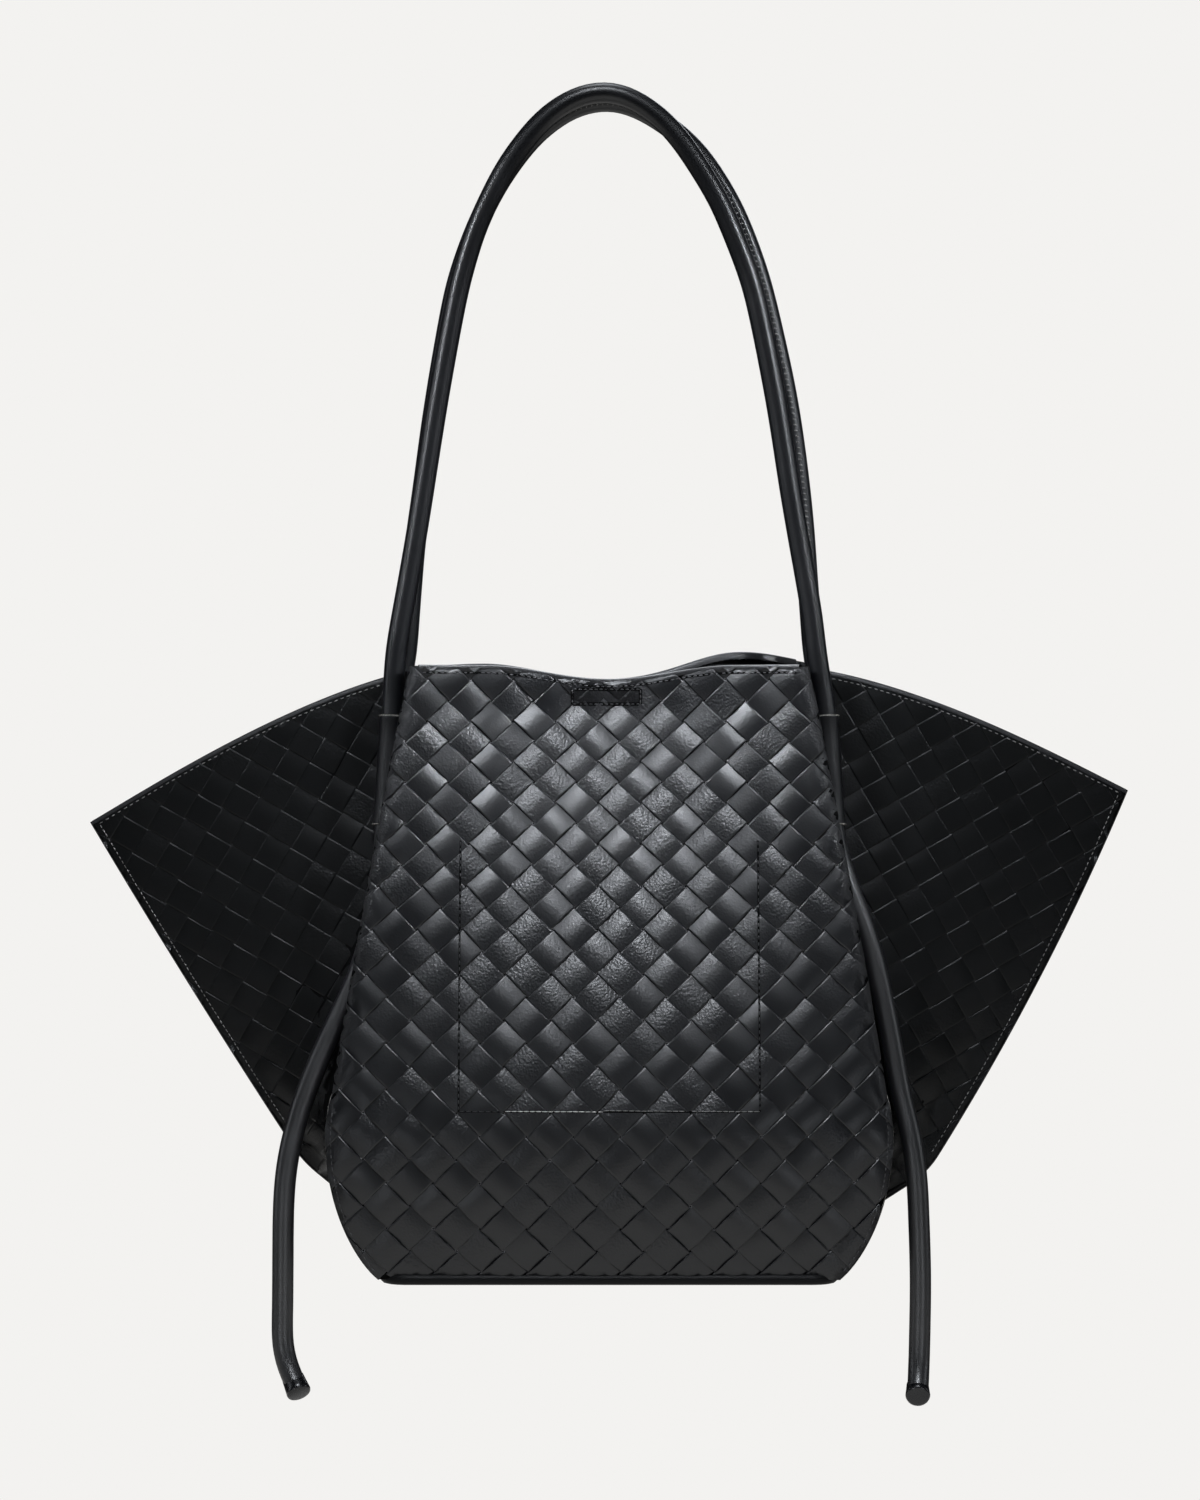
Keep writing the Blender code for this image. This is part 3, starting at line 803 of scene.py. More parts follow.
        def sharp(place: float) -> Vector:
            """The same with its corner left sharp.

            Args:
                place: How far along.

            Returns:
                The distance from the bag's middle and the height.
            """
            if place < turn:
                return join.lerp(corner, place / turn)
            return self._bowed(corner, tip, self.wing(hand).bow, (place - turn) / (1 - turn))

        if abs(share - turn) >= reach:
            return sharp(share)
        step = (share - turn + reach) / (2 * reach)
        first, last = sharp(turn - reach), sharp(turn + reach)
        return first.lerp(corner, step).lerp(corner.lerp(last, step), step)

    def wing_side(self, hand: Hand, share: float) -> Vector:
        """The outward direction of the soft wing's outer edge, in the wing's plane.

        Args:
            hand: Which wing.
            share: How far along the edge, from 0 to 1.

        Returns:
            The direction.
        """
        step = 0.01
        ahead, behind = min(share + step, 1.0), max(share - step, 0.0)
        run = self.wing_edge(hand, ahead) - self.wing_edge(hand, behind)
        return Vector((run.y, -run.x)).normalized()

    def wing_top(self, hand: Hand, reach: float, soft: bool = True) -> float:
        """Height of the wing's top edge.

        Args:
            hand: Which wing.
            reach: Distance from the bag's middle.
            soft: Whether the soft wing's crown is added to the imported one's arch.

        Returns:
            The height above the base's underside.
        """
        along = min(max((reach - self.wall) / (self.tip_span / 2 - self.wall), 0.0), 1.0)
        height = mix(self.body_height, self.wing(hand).tip_height, along)
        height += self.top_arch * 4 * along * (1 - along)
        if soft:
            gain, rise, fall = self.crown_shape
            height += self.crown * gain * along**rise * (1 - along) ** fall
        return height

    def wing_floor(self, height: float) -> float:
        """Where the wing's open face starts beyond the panel's side."""
        return self.half_width(height) + read_table(self.floor_table, height)

    def wing_outline(self, hand: Hand) -> list[Vector]:
        """The open face's outline as (x, z) points, from the join up the outer edge and back.

        Args:
            hand: Which wing.

        Returns:
            The points.
        """
        steps = 20
        outline = [tuple(self.wing_edge(hand, share)) for share in spaced(0.0, 1.0, 2 * steps)]
        for reach in spaced(self.tip_span / 2, self.wing_floor(self.body_height), steps)[1:-1]:
            outline.append((reach, self.wing_top(hand, reach)))
        for height in spaced(self.body_height, self.wing(hand).join[1], steps):
            outline.append((self.wing_floor(height), height))
        return [Vector((hand.value * reach, self.level(height))) for reach, height in outline]


class Piece:
    """A mesh in the making, with its materials."""

    def __init__(self, name: str, *finishes: Finish) -> None:
        """Starts an empty mesh with a UV map and a tone for each point.

        Args:
            name: The piece's name.
            finishes: Its finishes, which its shapes pick by number.
        """
        self.name = name
        self.finishes = finishes
        self.mesh = bmesh.new()
        self._open_bench()

    def _open_bench(self) -> None:
        """Starts an empty mesh for the next shapes."""
        self.bench = bmesh.new()
        self.layout = self.bench.loops.layers.uv.verify()
        self.tone = self.bench.verts.layers.float.new("tone")

    def settle(self, limit: int = 0) -> None:
        """Joins the shapes just made to the rest, once they have more points than a limit.

        Args:
            limit: How many points they have to pass.
        """
        if len(self.bench.verts) <= limit:
            return
        spare = bpy.data.meshes.new("spare")
        self.bench.to_mesh(spare)
        self.bench.free()
        self.mesh.from_mesh(spare)
        bpy.data.meshes.remove(spare)
        self._open_bench()

    def patch(
        self,
        columns: Sequence[float],
        rows: Sequence[float],
        place: Callable[[float, float], Vector],
        tone: float = 0.3,
        finish: int = 0,
        flip: bool = False,
        border: int | None = None,
    ) -> None:
        """Adds a grid bent to a surface.

        Args:
            columns: The first coordinate of each column.
            rows: The second coordinate of each row.
            place: The surface's point at two coordinates.
            tone: How strongly the leather's grain shows on it.
            finish: Which of the piece's finishes it has.
            flip: Whether its outside is the other side.
            border: The finish of its first and last row, if they have their own.
        """
        self.settle(BATCH)
        wide, high = len(columns) - 1, len(rows) - 1
        made = bmesh.ops.create_grid(self.bench, x_segments=wide, y_segments=high, size=1)["verts"]
        spots = {}
        for vertex in made:
            u = columns[round((vertex.co.x + 1) / 2 * wide)]
            v = rows[round((vertex.co.y + 1) / 2 * high)]
            spots[vertex] = (
                (u - columns[0]) / (columns[-1] - columns[0]),
                (v - rows[0]) / (rows[-1] - rows[0]),
            )
            vertex.co = place(u, v)
            vertex[self.tone] = tone
        faces = {face for vertex in made for face in vertex.link_faces}
        for face in faces:
            face.material_index = finish
            for loop in face.loops:
                loop[self.layout].uv = spots[loop.vert]
            levels = [spots[vertex][1] for vertex in face.verts]
            if border is not None and (min(levels) == 0 or max(levels) == 1):
                face.material_index = border
        if flip:
            bmesh.ops.reverse_faces(self.bench, faces=list(faces))

    def solid_copy(
        self, node: str, finish: int = 0, tone: float = 0.2, sink: Vector = Vector((0, 0, 0)),
        cuts: Sequence[float] = (),
    ) -> None:
        """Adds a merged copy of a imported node's mesh as the layer under the detail.

        Args:
            node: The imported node.
            finish: Which of the piece's finishes it has.
            tone: How strongly the leather's grain shows on it.
            sink: How far the side that faces against this is sunk, to stay below the detail.
            cuts: Where it is cut across its width, so that it bends as finely as the detail.
        """
        self.settle()
        self.bench.from_mesh(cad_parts[node].data)
        bmesh.ops.remove_doubles(self.bench, verts=self.bench.verts, dist=SLIVER)
        self.layout = self.bench.loops.layers.uv.verify()
        self.tone = self.bench.verts.layers.float["tone"]
        for across in cuts:
            whole = [*self.bench.verts, *self.bench.edges, *self.bench.faces]
            bmesh.ops.bisect_plane(
                self.bench, geom=whole, plane_co=(across, 0, 0), plane_no=(1, 0, 0)
            )
        self.bench.normal_update()
        limit = -0.3 * sink.length
        facing = [vertex for vertex in self.bench.verts if vertex.normal.dot(sink) < limit]
        if sink.length:
            bmesh.ops.translate(self.bench, vec=sink, verts=facing)
        for vertex in self.bench.verts:
            vertex[self.tone] = tone
        for face in self.bench.faces:
            face.material_index = finish
            for loop in face.loops:
                loop[self.layout].uv = (0.5, 0.5)
        self.settle()

    def stitch(
        self, centre: Vector, along: Vector, out: Vector, size: Point, finish: int = 0
    ) -> None:
        """Adds one stitch.

        Args:
            centre: Its middle.
            along: The direction of its length.
            out: The direction that it stands out in.
            size: Its length, width and height.
            finish: Which of the piece's finishes it has.
        """
        self.settle(BATCH)
        x = along.normalized()
        y = out.cross(x).normalized()
        z = x.cross(y)
        turn = Matrix((x, y, z)).transposed().to_4x4()
        place = Matrix.Translation(centre) @ turn @ Matrix.Diagonal((*size, 1))
        made = bmesh.ops.create_uvsphere(
            self.bench, u_segments=6, v_segments=4, radius=0.5, matrix=place
        )
        for face in {face for vertex in made["verts"] for face in vertex.link_faces}:
            face.material_index = finish

    def stitch_row(
        self,
        line: Callable[[float], Ray],
        length: float,
        pitch: float = 0.0032,
        size: Point = (0.0024, 0.0006, 0.0005),
        finish: int = 0,
    ) -> None:
        """Adds a row of stitches.

        Args:
            line: The place and outward direction at a share of the row.
            length: About how long the row is.
            pitch: Distance from stitch to stitch.
            size: A stitch's length, width and height.
            finish: Which of the piece's finishes the row has.
        """
        count = max(round(length / pitch), 1)
        for order in range(count):
            share = (order + 0.5) / count
            place, out = line(share)
            ahead, _ = line(min(share + 0.2 / count, 1.0))
            behind, _ = line(max(share - 0.2 / count, 0.0))
            self.stitch(place, ahead - behind, out, size, finish)

    def tube(
        self,
        path: Sequence[Vector],
        radius: Callable[[float, float], float],
        sides: int,
        seam: Callable[[Vector], Vector],
    ) -> None:
        """Adds a tube round a path, with its ends filled.

        Args:
            path: Its centreline.
            radius: The radius at an angle and at a share of the length.
            sides: How many faces go round.
            seam: The direction that angle 0 keeps to at a place.
        """
        self.settle()
        frames = tube_frames(path, seam)

        def place(turn: float, order: float) -> Vector:
            """The tube's surface.

            Args:
                turn: How far round, from 0 to 1.
                order: The number of the path's point.

            Returns:
                The point.
            """
            centre, first, second = frames[round(order)]
            angle = turn * 2 * math.pi
            reach = radius(angle, order / (len(path) - 1))
            return centre + (first * math.cos(angle) + second * math.sin(angle)) * reach

        self.patch(spaced(0.0, 1.0, sides), range(len(path)), place, ROLLED_TONE)
        bmesh.ops.remove_doubles(self.bench, verts=self.bench.verts, dist=MERGE)
        open_edges = [edge for edge in self.bench.edges if edge.is_boundary]
        bmesh.ops.holes_fill(self.bench, edges=open_edges, sides=0)
        bmesh.ops.recalc_face_normals(self.bench, faces=self.bench.faces)

    def turned(self, profile: Sequence[Pair], place: Matrix, steps: int = 28) -> None:
        """Adds a turned shape.

        Args:
            profile: Its section's (radius, height) points, as a closed loop.
            place: Where it stands; its axis is Z.
            steps: How many steps go round.
        """
        self.settle()
        corners = [self.bench.verts.new((radius, 0, height)) for radius, height in profile]
        edges = [
            self.bench.edges.new((first, second))
            for first, second in zip(corners, corners[1:] + corners[:1])
        ]
        bmesh.ops.spin(
            self.bench, geom=corners + edges, cent=(0, 0, 0), axis=(0, 0, 1), angle=2 * math.pi,
            steps=steps, use_merge=True,
        )
        bmesh.ops.remove_doubles(self.bench, verts=self.bench.verts, dist=MERGE)
        bmesh.ops.recalc_face_normals(self.bench, faces=self.bench.faces)
        bmesh.ops.transform(self.bench, matrix=place, verts=self.bench.verts)

    def finish(self, slot: str, replaces: Iterable[str] = ()) -> bpy.types.Object:
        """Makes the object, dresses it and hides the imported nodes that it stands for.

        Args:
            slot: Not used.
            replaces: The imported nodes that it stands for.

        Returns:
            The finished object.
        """
        self.settle()
        self.bench.free()
        bmesh.ops.dissolve_degenerate(self.mesh, dist=SLIVER, edges=self.mesh.edges)
        data = bpy.data.meshes.new(self.name)
        self.mesh.to_mesh(data)
        self.mesh.free()
        data.shade_smooth()
        data.set_sharp_from_angle(angle=SHARP)
        made = bpy.data.objects.new(self.name, data)
        bpy.context.scene.collection.objects.link(made)
        for finish in self.finishes:
            data.materials.append(finish.material())
        if replaces:
            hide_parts(*replaces)
        LOG.info("%s: %d faces", self.name, len(data.polygons))
        return made


def tube_frames(
    path: Sequence[Vector], seam: Callable[[Vector], Vector]
) -> list[tuple[Vector, Vector, Vector]]:
    """The centre and two crosswise directions at each point of a path.

    Args:
        path: The points.
        seam: The direction that the first of the two keeps to at a place.

    Returns:
        The centre and both directions of each.
    """
    frames = []
    for order, centre in enumerate(path):
        behind, ahead = path[max(order - 1, 0)], path[min(order + 1, len(path) - 1)]
        tangent = (ahead - behind).normalized()
        first = (seam(centre) - tangent * seam(centre).dot(tangent)).normalized()
        frames.append((centre, first, tangent.cross(first)))
    return frames


def smooth_path(places: Sequence[tuple[int, int, int]], spacing: float) -> list[Vector]:
    """Points a spacing apart along a smooth curve through some places.

    Args:
        places: The places, in tenths of a millimetre.
        spacing: About how far apart the points are, in metres.

    Returns:
        The points, with the first and last place kept.
    """
    route = [Vector([value / 10000 for value in place]) for place in places]
    ends = [route[0] * 2 - route[1], *route, route[-1] * 2 - route[-2]]
    fine = []
    for before, start, end, after in zip(ends, ends[1:], ends[2:], ends[3:]):
        for step in range(ROUTE_STEPS):
            t = step / ROUTE_STEPS
            cubic = (start * 3 - before - end * 3 + after) * t**3
            square = (before * 2 - start * 5 + end * 4 - after) * t**2
            fine.append((start * 2 + (end - before) * t + square + cubic) / 2)
    fine.append(route[-1])
    lengths = [0.0]
    for first, second in zip(fine, fine[1:]):
        lengths.append(lengths[-1] + (second - first).length)
    count = max(round(lengths[-1] / spacing), 2)
    points, position = [], 0
    for order in range(count + 1):
        target = lengths[-1] * order / count
        while position < len(lengths) - 2 and lengths[position + 1] < target:
            position += 1
        run = lengths[position + 1] - lengths[position]
        points.append(fine[position].lerp(fine[position + 1], (target - lengths[position]) / run))
    for _ in range(ROUTE_ROUNDS):
        middles = [(a + b * 2 + c) / 4 for a, b, c in zip(points, points[1:], points[2:])]
        points = [points[0], *middles, points[-1]]
    return points


def rounded_rectangle(reach: Pair, corner: float, share: float) -> Ray:
    """A place on a rounded rectangle's outline.

    Args:
        reach: Half the straight lengths along X and Y.
        corner: The corners' radius.
        share: How far round, from 0 to 1.

    Returns:
        The place and its outward direction.
    """
    arc = corner * math.pi / 2
    lengths = (2 * reach[1], arc, 2 * reach[0], arc) * 2
    rest = share % 1.0 * sum(lengths)
    order = 0
    while rest > lengths[order] and order < 7:
        rest -= lengths[order]
        order += 1
    quarter = order // 2
    away = Matrix.Rotation(quarter * math.pi / 2, 2) @ Vector((1, 0))
    ahead = Vector((-away.y, away.x))
    wide, high = (reach[0], reach[1]) if quarter % 2 == 0 else (reach[1], reach[0])
    if order % 2 == 0:
        return away * (wide + corner) + ahead * (rest - high), away
    angle = rest / corner
    out = away * math.cos(angle) + ahead * math.sin(angle)
    return away * wide + ahead * high + out * corner, out


STRIP = Leather("woven_strip_leather")
WING_STRIP = Leather(
    "wing_strip_leather", roughness=0.34, colour=(0.0026, 0.0029, 0.0031), shine=0.19, wear_and_glint_share=0.15
)
SLEEVE = Leather(
    "sleeve_leather", wear_and_glint_share=0.0, roughness=0.46, colour=(0.0020, 0.0022, 0.0028), grain_depth=0.00003,
    crease_depth=0.00006, shine=0.35,
)
# Near-black matt leather, darker than the strips: painted shade for the layer seen between and beneath them
# and for the strips' sloping edges.
UNDER_SHADE = Leather(
    "underlayer_painted_shade", roughness=0.75, wear_and_glint_share=0.0, colour=(0.0010, 0.0010, 0.0011), shine=0.06
)
PLAIN = Leather("trim_leather", wear_and_glint_share=0.0, grain=0.0009, grain_depth=0.00003, crease_depth=0.00010)
# Flat leather inside the magnet's stitched rectangle, darker than the strips: painted shade of the recess
# there.
RECESS_SHADE_PATCH = Leather(
    "magnet_patch_leather", wear_and_glint_share=0.0, roughness=0.45, colour=(0.002, 0.002, 0.0025), shine=0.2
)
ROLLED = RolledLeather("rolled_strap_leather", shine=0.5)
TAIL = RolledLeather("rolled_tail_leather", roughness=0.36, shine=1.0)
# The base's rolled edge, darker than the body's leather: painted shade of the gap between panel and roll, on
# a real roll.
SHADED_ROLL = Leather(
    "base_roll_painted_shade", wear_and_glint_share=0.0, roughness=0.5, colour=(0.0015, 0.0015, 0.0018), shine=0.15
)
DARK_THREAD = Thread("black_thread", (0.012, 0.012, 0.013))
SEAM_THREAD = Thread("seam_thread", (0.030, 0.030, 0.032))
# Grey thread, paler than the seam thread.
GREY_THREAD = Thread("grey_thread", (0.110, 0.109, 0.106))
# Pale thread: a painted highlight on a stretch of the pocket's low stitches.
HIGHLIGHT_THREAD = Thread("painted_highlight_thread", (0.34, 0.335, 0.325))
PAINTED_EDGE = CutEdge("painted_edge", (0.005, 0.005, 0.006), (0.014, 0.014, 0.015), 0.34)
RAW_EDGE = CutEdge("raw_leather_edge", (0.085, 0.080, 0.072), (0.30, 0.285, 0.26), 0.75)
# A near-black band laid flat on the strips: painted shade of the groove that a seam pulls in.
GROOVE_SHADE = CutEdge("painted_groove_shade", (0.0012, 0.0012, 0.0013), (0.003, 0.003, 0.003), 0.8, 0.04)
POCKET_CLOTH = Lining("pocket_cotton")
MAGNET_STEEL = Steel("magnet_steel_finish")
BOARD = FibreBoard("base_fibre_board")


@dataclass
class Weave:
    """Broad leather strips woven one over one on a slanting lattice."""

    first: Vector
    second: Vector
    origin: Vector
    even_along_second: bool
    rise: float = 0.00108
    rest: float = 0.00025
    edge_drop: float = 0.0006
    strip_share: float = 0.968
    tuck: float = 1.13
    crest_share: float = 0.86
    flat_share: float = 0.84
    edge_width: float = 0.012
    shoulder_drop: float = 0.12
    middle_drop: float = -0.03
    swell: Pair = (0.86, 1.14)
    tilts: Pair = (0.00016, 0.00012)

    def cell_centres(self, reach: int) -> Iterable[tuple[int, int, Vector]]:
        """Every crossing within a number of strips from the origin.

        Args:
            reach: How many strips.

        Returns:
            The numbers of both strips and the place, for each crossing.
        """
        for i in range(-reach, reach + 1):
            for j in range(-reach, reach + 1):
                yield i, j, self.origin + self.first * i + self.second * j

    def fill(
        self,
        piece: Piece,
        surface: Callable[[Vector, float], Vector],
        inside: Callable[[Vector], bool],
        reach: int,
        flip: bool = False,
        seed: float = 0.0,
    ) -> None:
        """Adds the strips' visible crossings to a piece.

        Args:
            piece: The piece that they go into.
            surface: The point above a place in the lattice, at a height above the cloth.
            inside: Whether a place is on the cloth.
            reach: How many strips the lattice runs from its origin.
            flip: Whether the outside is the other side.
            seed: Tells one cloth's small irregularities from another's.
        """
        tuck, crest, flat = self.tuck, self.crest_share, self.flat_share
        edge, shoulder = self.strip_share, self.strip_share - self.edge_width
        lengthwise = (-tuck, -crest, -0.5, 0.0, 0.5, crest, tuck)
        crosswise = (-edge, -shoulder, -flat, 0.0, flat, shoulder, edge)
        drops = {edge: 1.0, shoulder: self.shoulder_drop, flat: 0.0, 0.0: self.middle_drop}
        for i, j, centre in self.cell_centres(reach):
            along, across = self.first / 2, self.second / 2
            if ((i + j) % 2 == 0) == self.even_along_second:
                along, across = self.second / 2, self.first / -2
            corners = (centre, centre + along, centre - along, centre + across, centre - across)
            if not any(inside(corner) for corner in corners):
                continue
            swell = mix(*self.swell, chance(i, j, seed))
            tilt_along, tilt_across = (
                mix(-most, most, chance(i, j, seed + step))
                for most, step in zip(self.tilts, (3, 7))
            )

            def place(u: float, v: float) -> Vector:
                """A point of this crossing.

                Args:
                    u: How far along the strip, 1 where it dips under.
                    v: How far across it.

                Returns:
                    The point.
                """
                lift = self.rest + self.rise * swell * math.cos(math.pi / 2 * u)
                lift += tilt_along * u + tilt_across * v - self.edge_drop * drops[abs(v)]
                return surface(centre + along * u + across * v, lift)

            # The strips' sloping side edges take the second finish, the near-black leather painted as the
            # shade in the gaps between strips.
            piece.patch(lengthwise, crosswise, place, chance(i, j, seed + 11), 0, flip, 1)


@dataclass
class Panel:
    """The front or back of the body: its woven cloth, seams and trim."""

    shape: BagShape
    side: Side
    wide_diagonal: float = 0.0238
    narrow_diagonal: float = 0.0220
    narrowing: Pair = (0.14, 0.24)
    column_phase: float = 0.47
    row_height: float = 0.1806
    rises: list[Pair] = field(init=False)
    middle: float = field(init=False)
    weave: BVHTree = field(init=False)
    cloth_reach: int = 19
    sunk: float = 0.0010
    lining_drop: float = 0.022
    edge_press: Pair = (0.40, 0.005)
    fold_press: Point = (0.15, 0.001, 0.005)
    sway: Point = (0.0005, 22.0, 0.01)
    fold_tone: float = 2.0
    weave_reach: float = 0.004
    beside: float = 0.00045
    fold_start: float = 0.0008
    rim_stitch_drop: float = 0.0034
    rim_stitch_inset: float = 0.004
    rim_stitch_pitch: float = 0.0030
    rim_stitch_size: Point = (0.0022, 0.0007, 0.0006)
    # Half width and lift of the band painted as shade of the rim stitches' groove.
    pressed_half_width: float = 0.0006
    pressed_lift: float = 0.00006
    stitch_lift: float = 0.0001
    raw_stitch_inset: float = 0.0028
    raw_stitch_heights: Pair = (0.006, 0.088)
    raw_row_length: float = 0.085
    raw_edge_heights: Pair = (0.0035, 0.098)
    raw_edge_depths: Pair = (0.0003, 0.0016)
    raw_edge_bow: Pair = (0.0003, 0.00015)
    rim_edge_inset: float = 0.003
    rim_edge_drop: float = 0.001
    rim_section: tuple[Pair, ...] = (
        (0.0003, -0.0018), (0.0006, -0.0005), (0.0003, 0.0004), (-0.0008, 0.0007),
        (-0.0022, 0.0004), (-0.0028, -0.0006), (-0.0029, -0.0030),
    )

    def __post_init__(self) -> None:
        """Measures the cloth up the panel's middle in half diagonals."""
        self.rises = [(0.0, 0.0)]
        step = 0.002
        height, rise = 0.0, 0.0
        while height < self.shape.body_height + 0.02:
            run = self.shape.centre_depth(height + step) - self.shape.centre_depth(height)
            rise += math.hypot(step, run) / (self.diagonal(height) / 2)
            height += step
            self.rises.append((rise, height))
        self.middle = read_table([(h, r) for r, h in self.rises], self.row_height)

    def diagonal(self, height: float) -> float:
        """The diagonal of a crossing at a height.

        Args:
            height: Height above the base's underside.

        Returns:
            The diagonal.
        """
        low, high = self.narrowing
        share = smoothstep((height - low) / (high - low))
        return mix(self.wide_diagonal, self.narrow_diagonal, share)

    def on_cloth(self, spot: Vector) -> Pair:
        """The distance across and the height of a place in the lattice.

        Args:
            spot: The place, in half diagonals.

        Returns:
            The distance along the cloth from its middle, and the height.
        """
        height = read_table(self.rises, spot.y + self.middle)
        if spot.y + self.middle < 0:
            height = (spot.y + self.middle) * self.wide_diagonal / 2
        return spot.x * self.diagonal(height) / 2, height

    def _inside(self, top_drop: float, spot: Vector) -> bool:
        """Whether a place in the lattice is on the cloth.

        Args:
            top_drop: How far below the rim the cloth ends.
            spot: The place, in half diagonals.

        Returns:
            Whether it is.
        """
        across, height = self.on_cloth(spot)
        top = self.shape.rim_height(self.side, across) - top_drop
        if not self.shape.panel_bottom < height < top:
            return False
        return abs(across) < self.shape.cloth_limit(height)

    def _surface(self, top_drop: float, inwards: float, spot: Vector, lift: float) -> Vector:
        """The point above a place in the lattice, kept to the panel's outline.

        Args:
            top_drop: How far below the rim the cloth ends.
            inwards: How far inside the outer face it is, or 0 for the outer one.
            spot: The place, in half diagonals.
            lift: Height above the cloth.

        Returns:
            The point.
        """
        shape = self.shape
        across, height = self.on_cloth(spot)
        height = max(height, shape.panel_bottom)
        limit = shape.cloth_limit(min(height, shape.body_height))
        across = max(-limit, min(limit, across))
        top = shape.rim_height(self.side, across) - top_drop
        height = min(height, top)
        margin = min(top - height, limit - abs(across), height - shape.panel_bottom)
        least, run = self.edge_press
        press = mix(least, 1.0, smoothstep(margin / run))
        beyond = abs(across) - shape.face_half_width(height)
        least, start, run = self.fold_press
        press *= mix(1.0, least, smoothstep((beyond - start) / run))
        out = shape.cloth_normal(self.side, across, height)
        place = shape.cloth_point(self.side, across, height)
        if inwards:
            return place - out * (inwards + lift * press)
        most, turns, run = self.sway
        sway = most * noise.noise(Vector((across * turns, height * turns, self.side.value)))
        return place + out * (lift * press + sway * smoothstep(margin / run))

    def build(self) -> None:
        """Builds the panel's pieces, which move with it."""
        for make in (self.cloth, self.rim_stitches, self.rim_edge, self.raw_edges):
            make()

    def cloth(self) -> None:
        """The woven cloth, with the strips' crossings on both faces."""
        name = self.side.word
        piece = Piece(f"{name}_panel_weave", STRIP, UNDER_SHADE)
        # The copied solid under the strips takes the painted-shade leather.
        piece.solid_copy(f"{name}_panel", 1, sink=Vector((0, -self.sunk * self.side.value, 0)))
        outer = Weave(Vector((1, 1)), Vector((-1, 1)), Vector((self.column_phase, 0)), True)
        inner = replace(outer, even_along_second=False, rise=0.0005, rest=0.0002, edge_drop=0.0004)
        flip = self.side is Side.BACK
        for lattice, drop, inwards, turned, seed in (
            (outer, 0.0, 0.0, flip, self.side.value),
            (inner, self.lining_drop, self.shape.panel_thickness, not flip, 5.0),
        ):
            surface = partial(self._surface, drop, inwards)
            inside = partial(self._inside, drop)
            lattice.fill(piece, surface, inside, self.cloth_reach, turned, seed)
        piece.settle()
        layer = piece.mesh.verts.layers.float["tone"]
        for vertex in piece.mesh.verts:
            height = vertex.co.z + self.shape.hang_height
            if abs(vertex.co.x) > self.shape.face_half_width(height) + self.fold_start:
                vertex[layer] = self.fold_tone
        made = piece.finish("leather_body", [f"{name}_panel"])
        self.weave = BVHTree.FromPolygons(
            [vertex.co for vertex in made.data.vertices],
            [face.vertices for face in made.data.polygons],
        )
        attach(made, name)

    def face(self, across: float, height: float, lift: float) -> Ray:
        """A place above the panel's face and its outward direction."""
        out = self.shape.cloth_normal(self.side, across, height)
        return self.shape.cloth_point(self.side, across, height) + out * lift, out

    def on_weave(self, across: float, height: float, lift: float) -> Ray:
        """The same above the strips that are there.

        Args:
            across: Distance along the cloth from the middle.
            height: Height above the base's underside.
            lift: Height above the strips.

        Returns:
            The place and the strip's outward direction.
        """
        place, out = self.face(across, height, 0.0)
        hit, normal, _, _ = self.weave.ray_cast(place + out * 0.01, -out)
        if hit is None or (hit - place).length > self.weave_reach:
            return place + out * lift, out
        if normal.dot(out) < 0:
            normal = -normal
        return hit + normal * lift, normal

    def over_weave(self, across: float, height: float, lift: float) -> Vector:
        """A place above the highest strip close by, so that a thin patch covers the strips' edges.

        Args:
            across: Distance along the cloth from the middle.
            height: Height above the base's underside.
            lift: Height above that strip.

        Returns:
            The place.
        """
        place, out = self.face(across, height, 0.0)
        spots = []
        for x, z in ((0, 0), (1, 0), (-1, 0), (0, 1), (0, -1)):
            beside = (across + x * self.beside, height + z * self.beside)
            spots.append(self.on_weave(*beside, 0.0)[0])
        return place + out * (max((spot - place).dot(out) for spot in spots) + lift)

    def _stitch_height(self, across: float) -> float:
        """Height of the stitches under the rim."""
        return self.shape.rim_height(self.side, across) - self.rim_stitch_drop

    def rim_stitches(self) -> None:
        """The row of stitches under the rim, and those beside the raw edges low down."""
        piece = Piece(f"{self.side.word}_edge_stitches", SEAM_THREAD, GROOVE_SHADE)
        reach = self.shape.half_width(self.shape.body_height) - self.rim_stitch_inset

        def under_rim(share: float) -> Ray:
            """A place in the row under the rim, and its outward direction."""
            across = mix(-reach, reach, share)
            return self.on_weave(across, self._stitch_height(across), self.stitch_lift)

        def groove_shade_line(share: float, across: float) -> Vector:
            """A point of the near-black band under the stitches: painted shade of the line that they press
            into the leather.
            """
            height = self._stitch_height(share * reach) + across * self.pressed_half_width
            return self.on_weave(share * reach, height, self.pressed_lift)[0]

        # The near-black band under the rim's stitches is painted shade of their groove.
        piece.patch(spaced(-1.0, 1.0, 150), [-1.0, 1.0], groove_shade_line, 0.0, 1, self.side is Side.BACK)
        piece.stitch_row(under_rim, 2 * reach, self.rim_stitch_pitch, self.rim_stitch_size)
        for hand in Hand:

            def beside(share: float) -> Ray:
                """A place in the row beside a raw edge.

                Args:
                    share: How far up the row.

                Returns:
                    The place and its outward direction.
                """
                height = mix(*self.raw_stitch_heights, share)
                across = hand.value * (self.shape.cloth_limit(height) - self.raw_stitch_inset)
                return self.on_weave(across, height, self.stitch_lift)

            piece.stitch_row(beside, self.raw_row_length)
        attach(piece.finish("leather_trim"), self.side.word)

    def rim_edge(self) -> None:
        """The rim's folded and painted edge, over the cloth and its facing."""
        piece = Piece(f"{self.side.word}_rim_edge", PAINTED_EDGE)
        reach = self.shape.half_width(self.shape.body_height) - self.rim_edge_inset

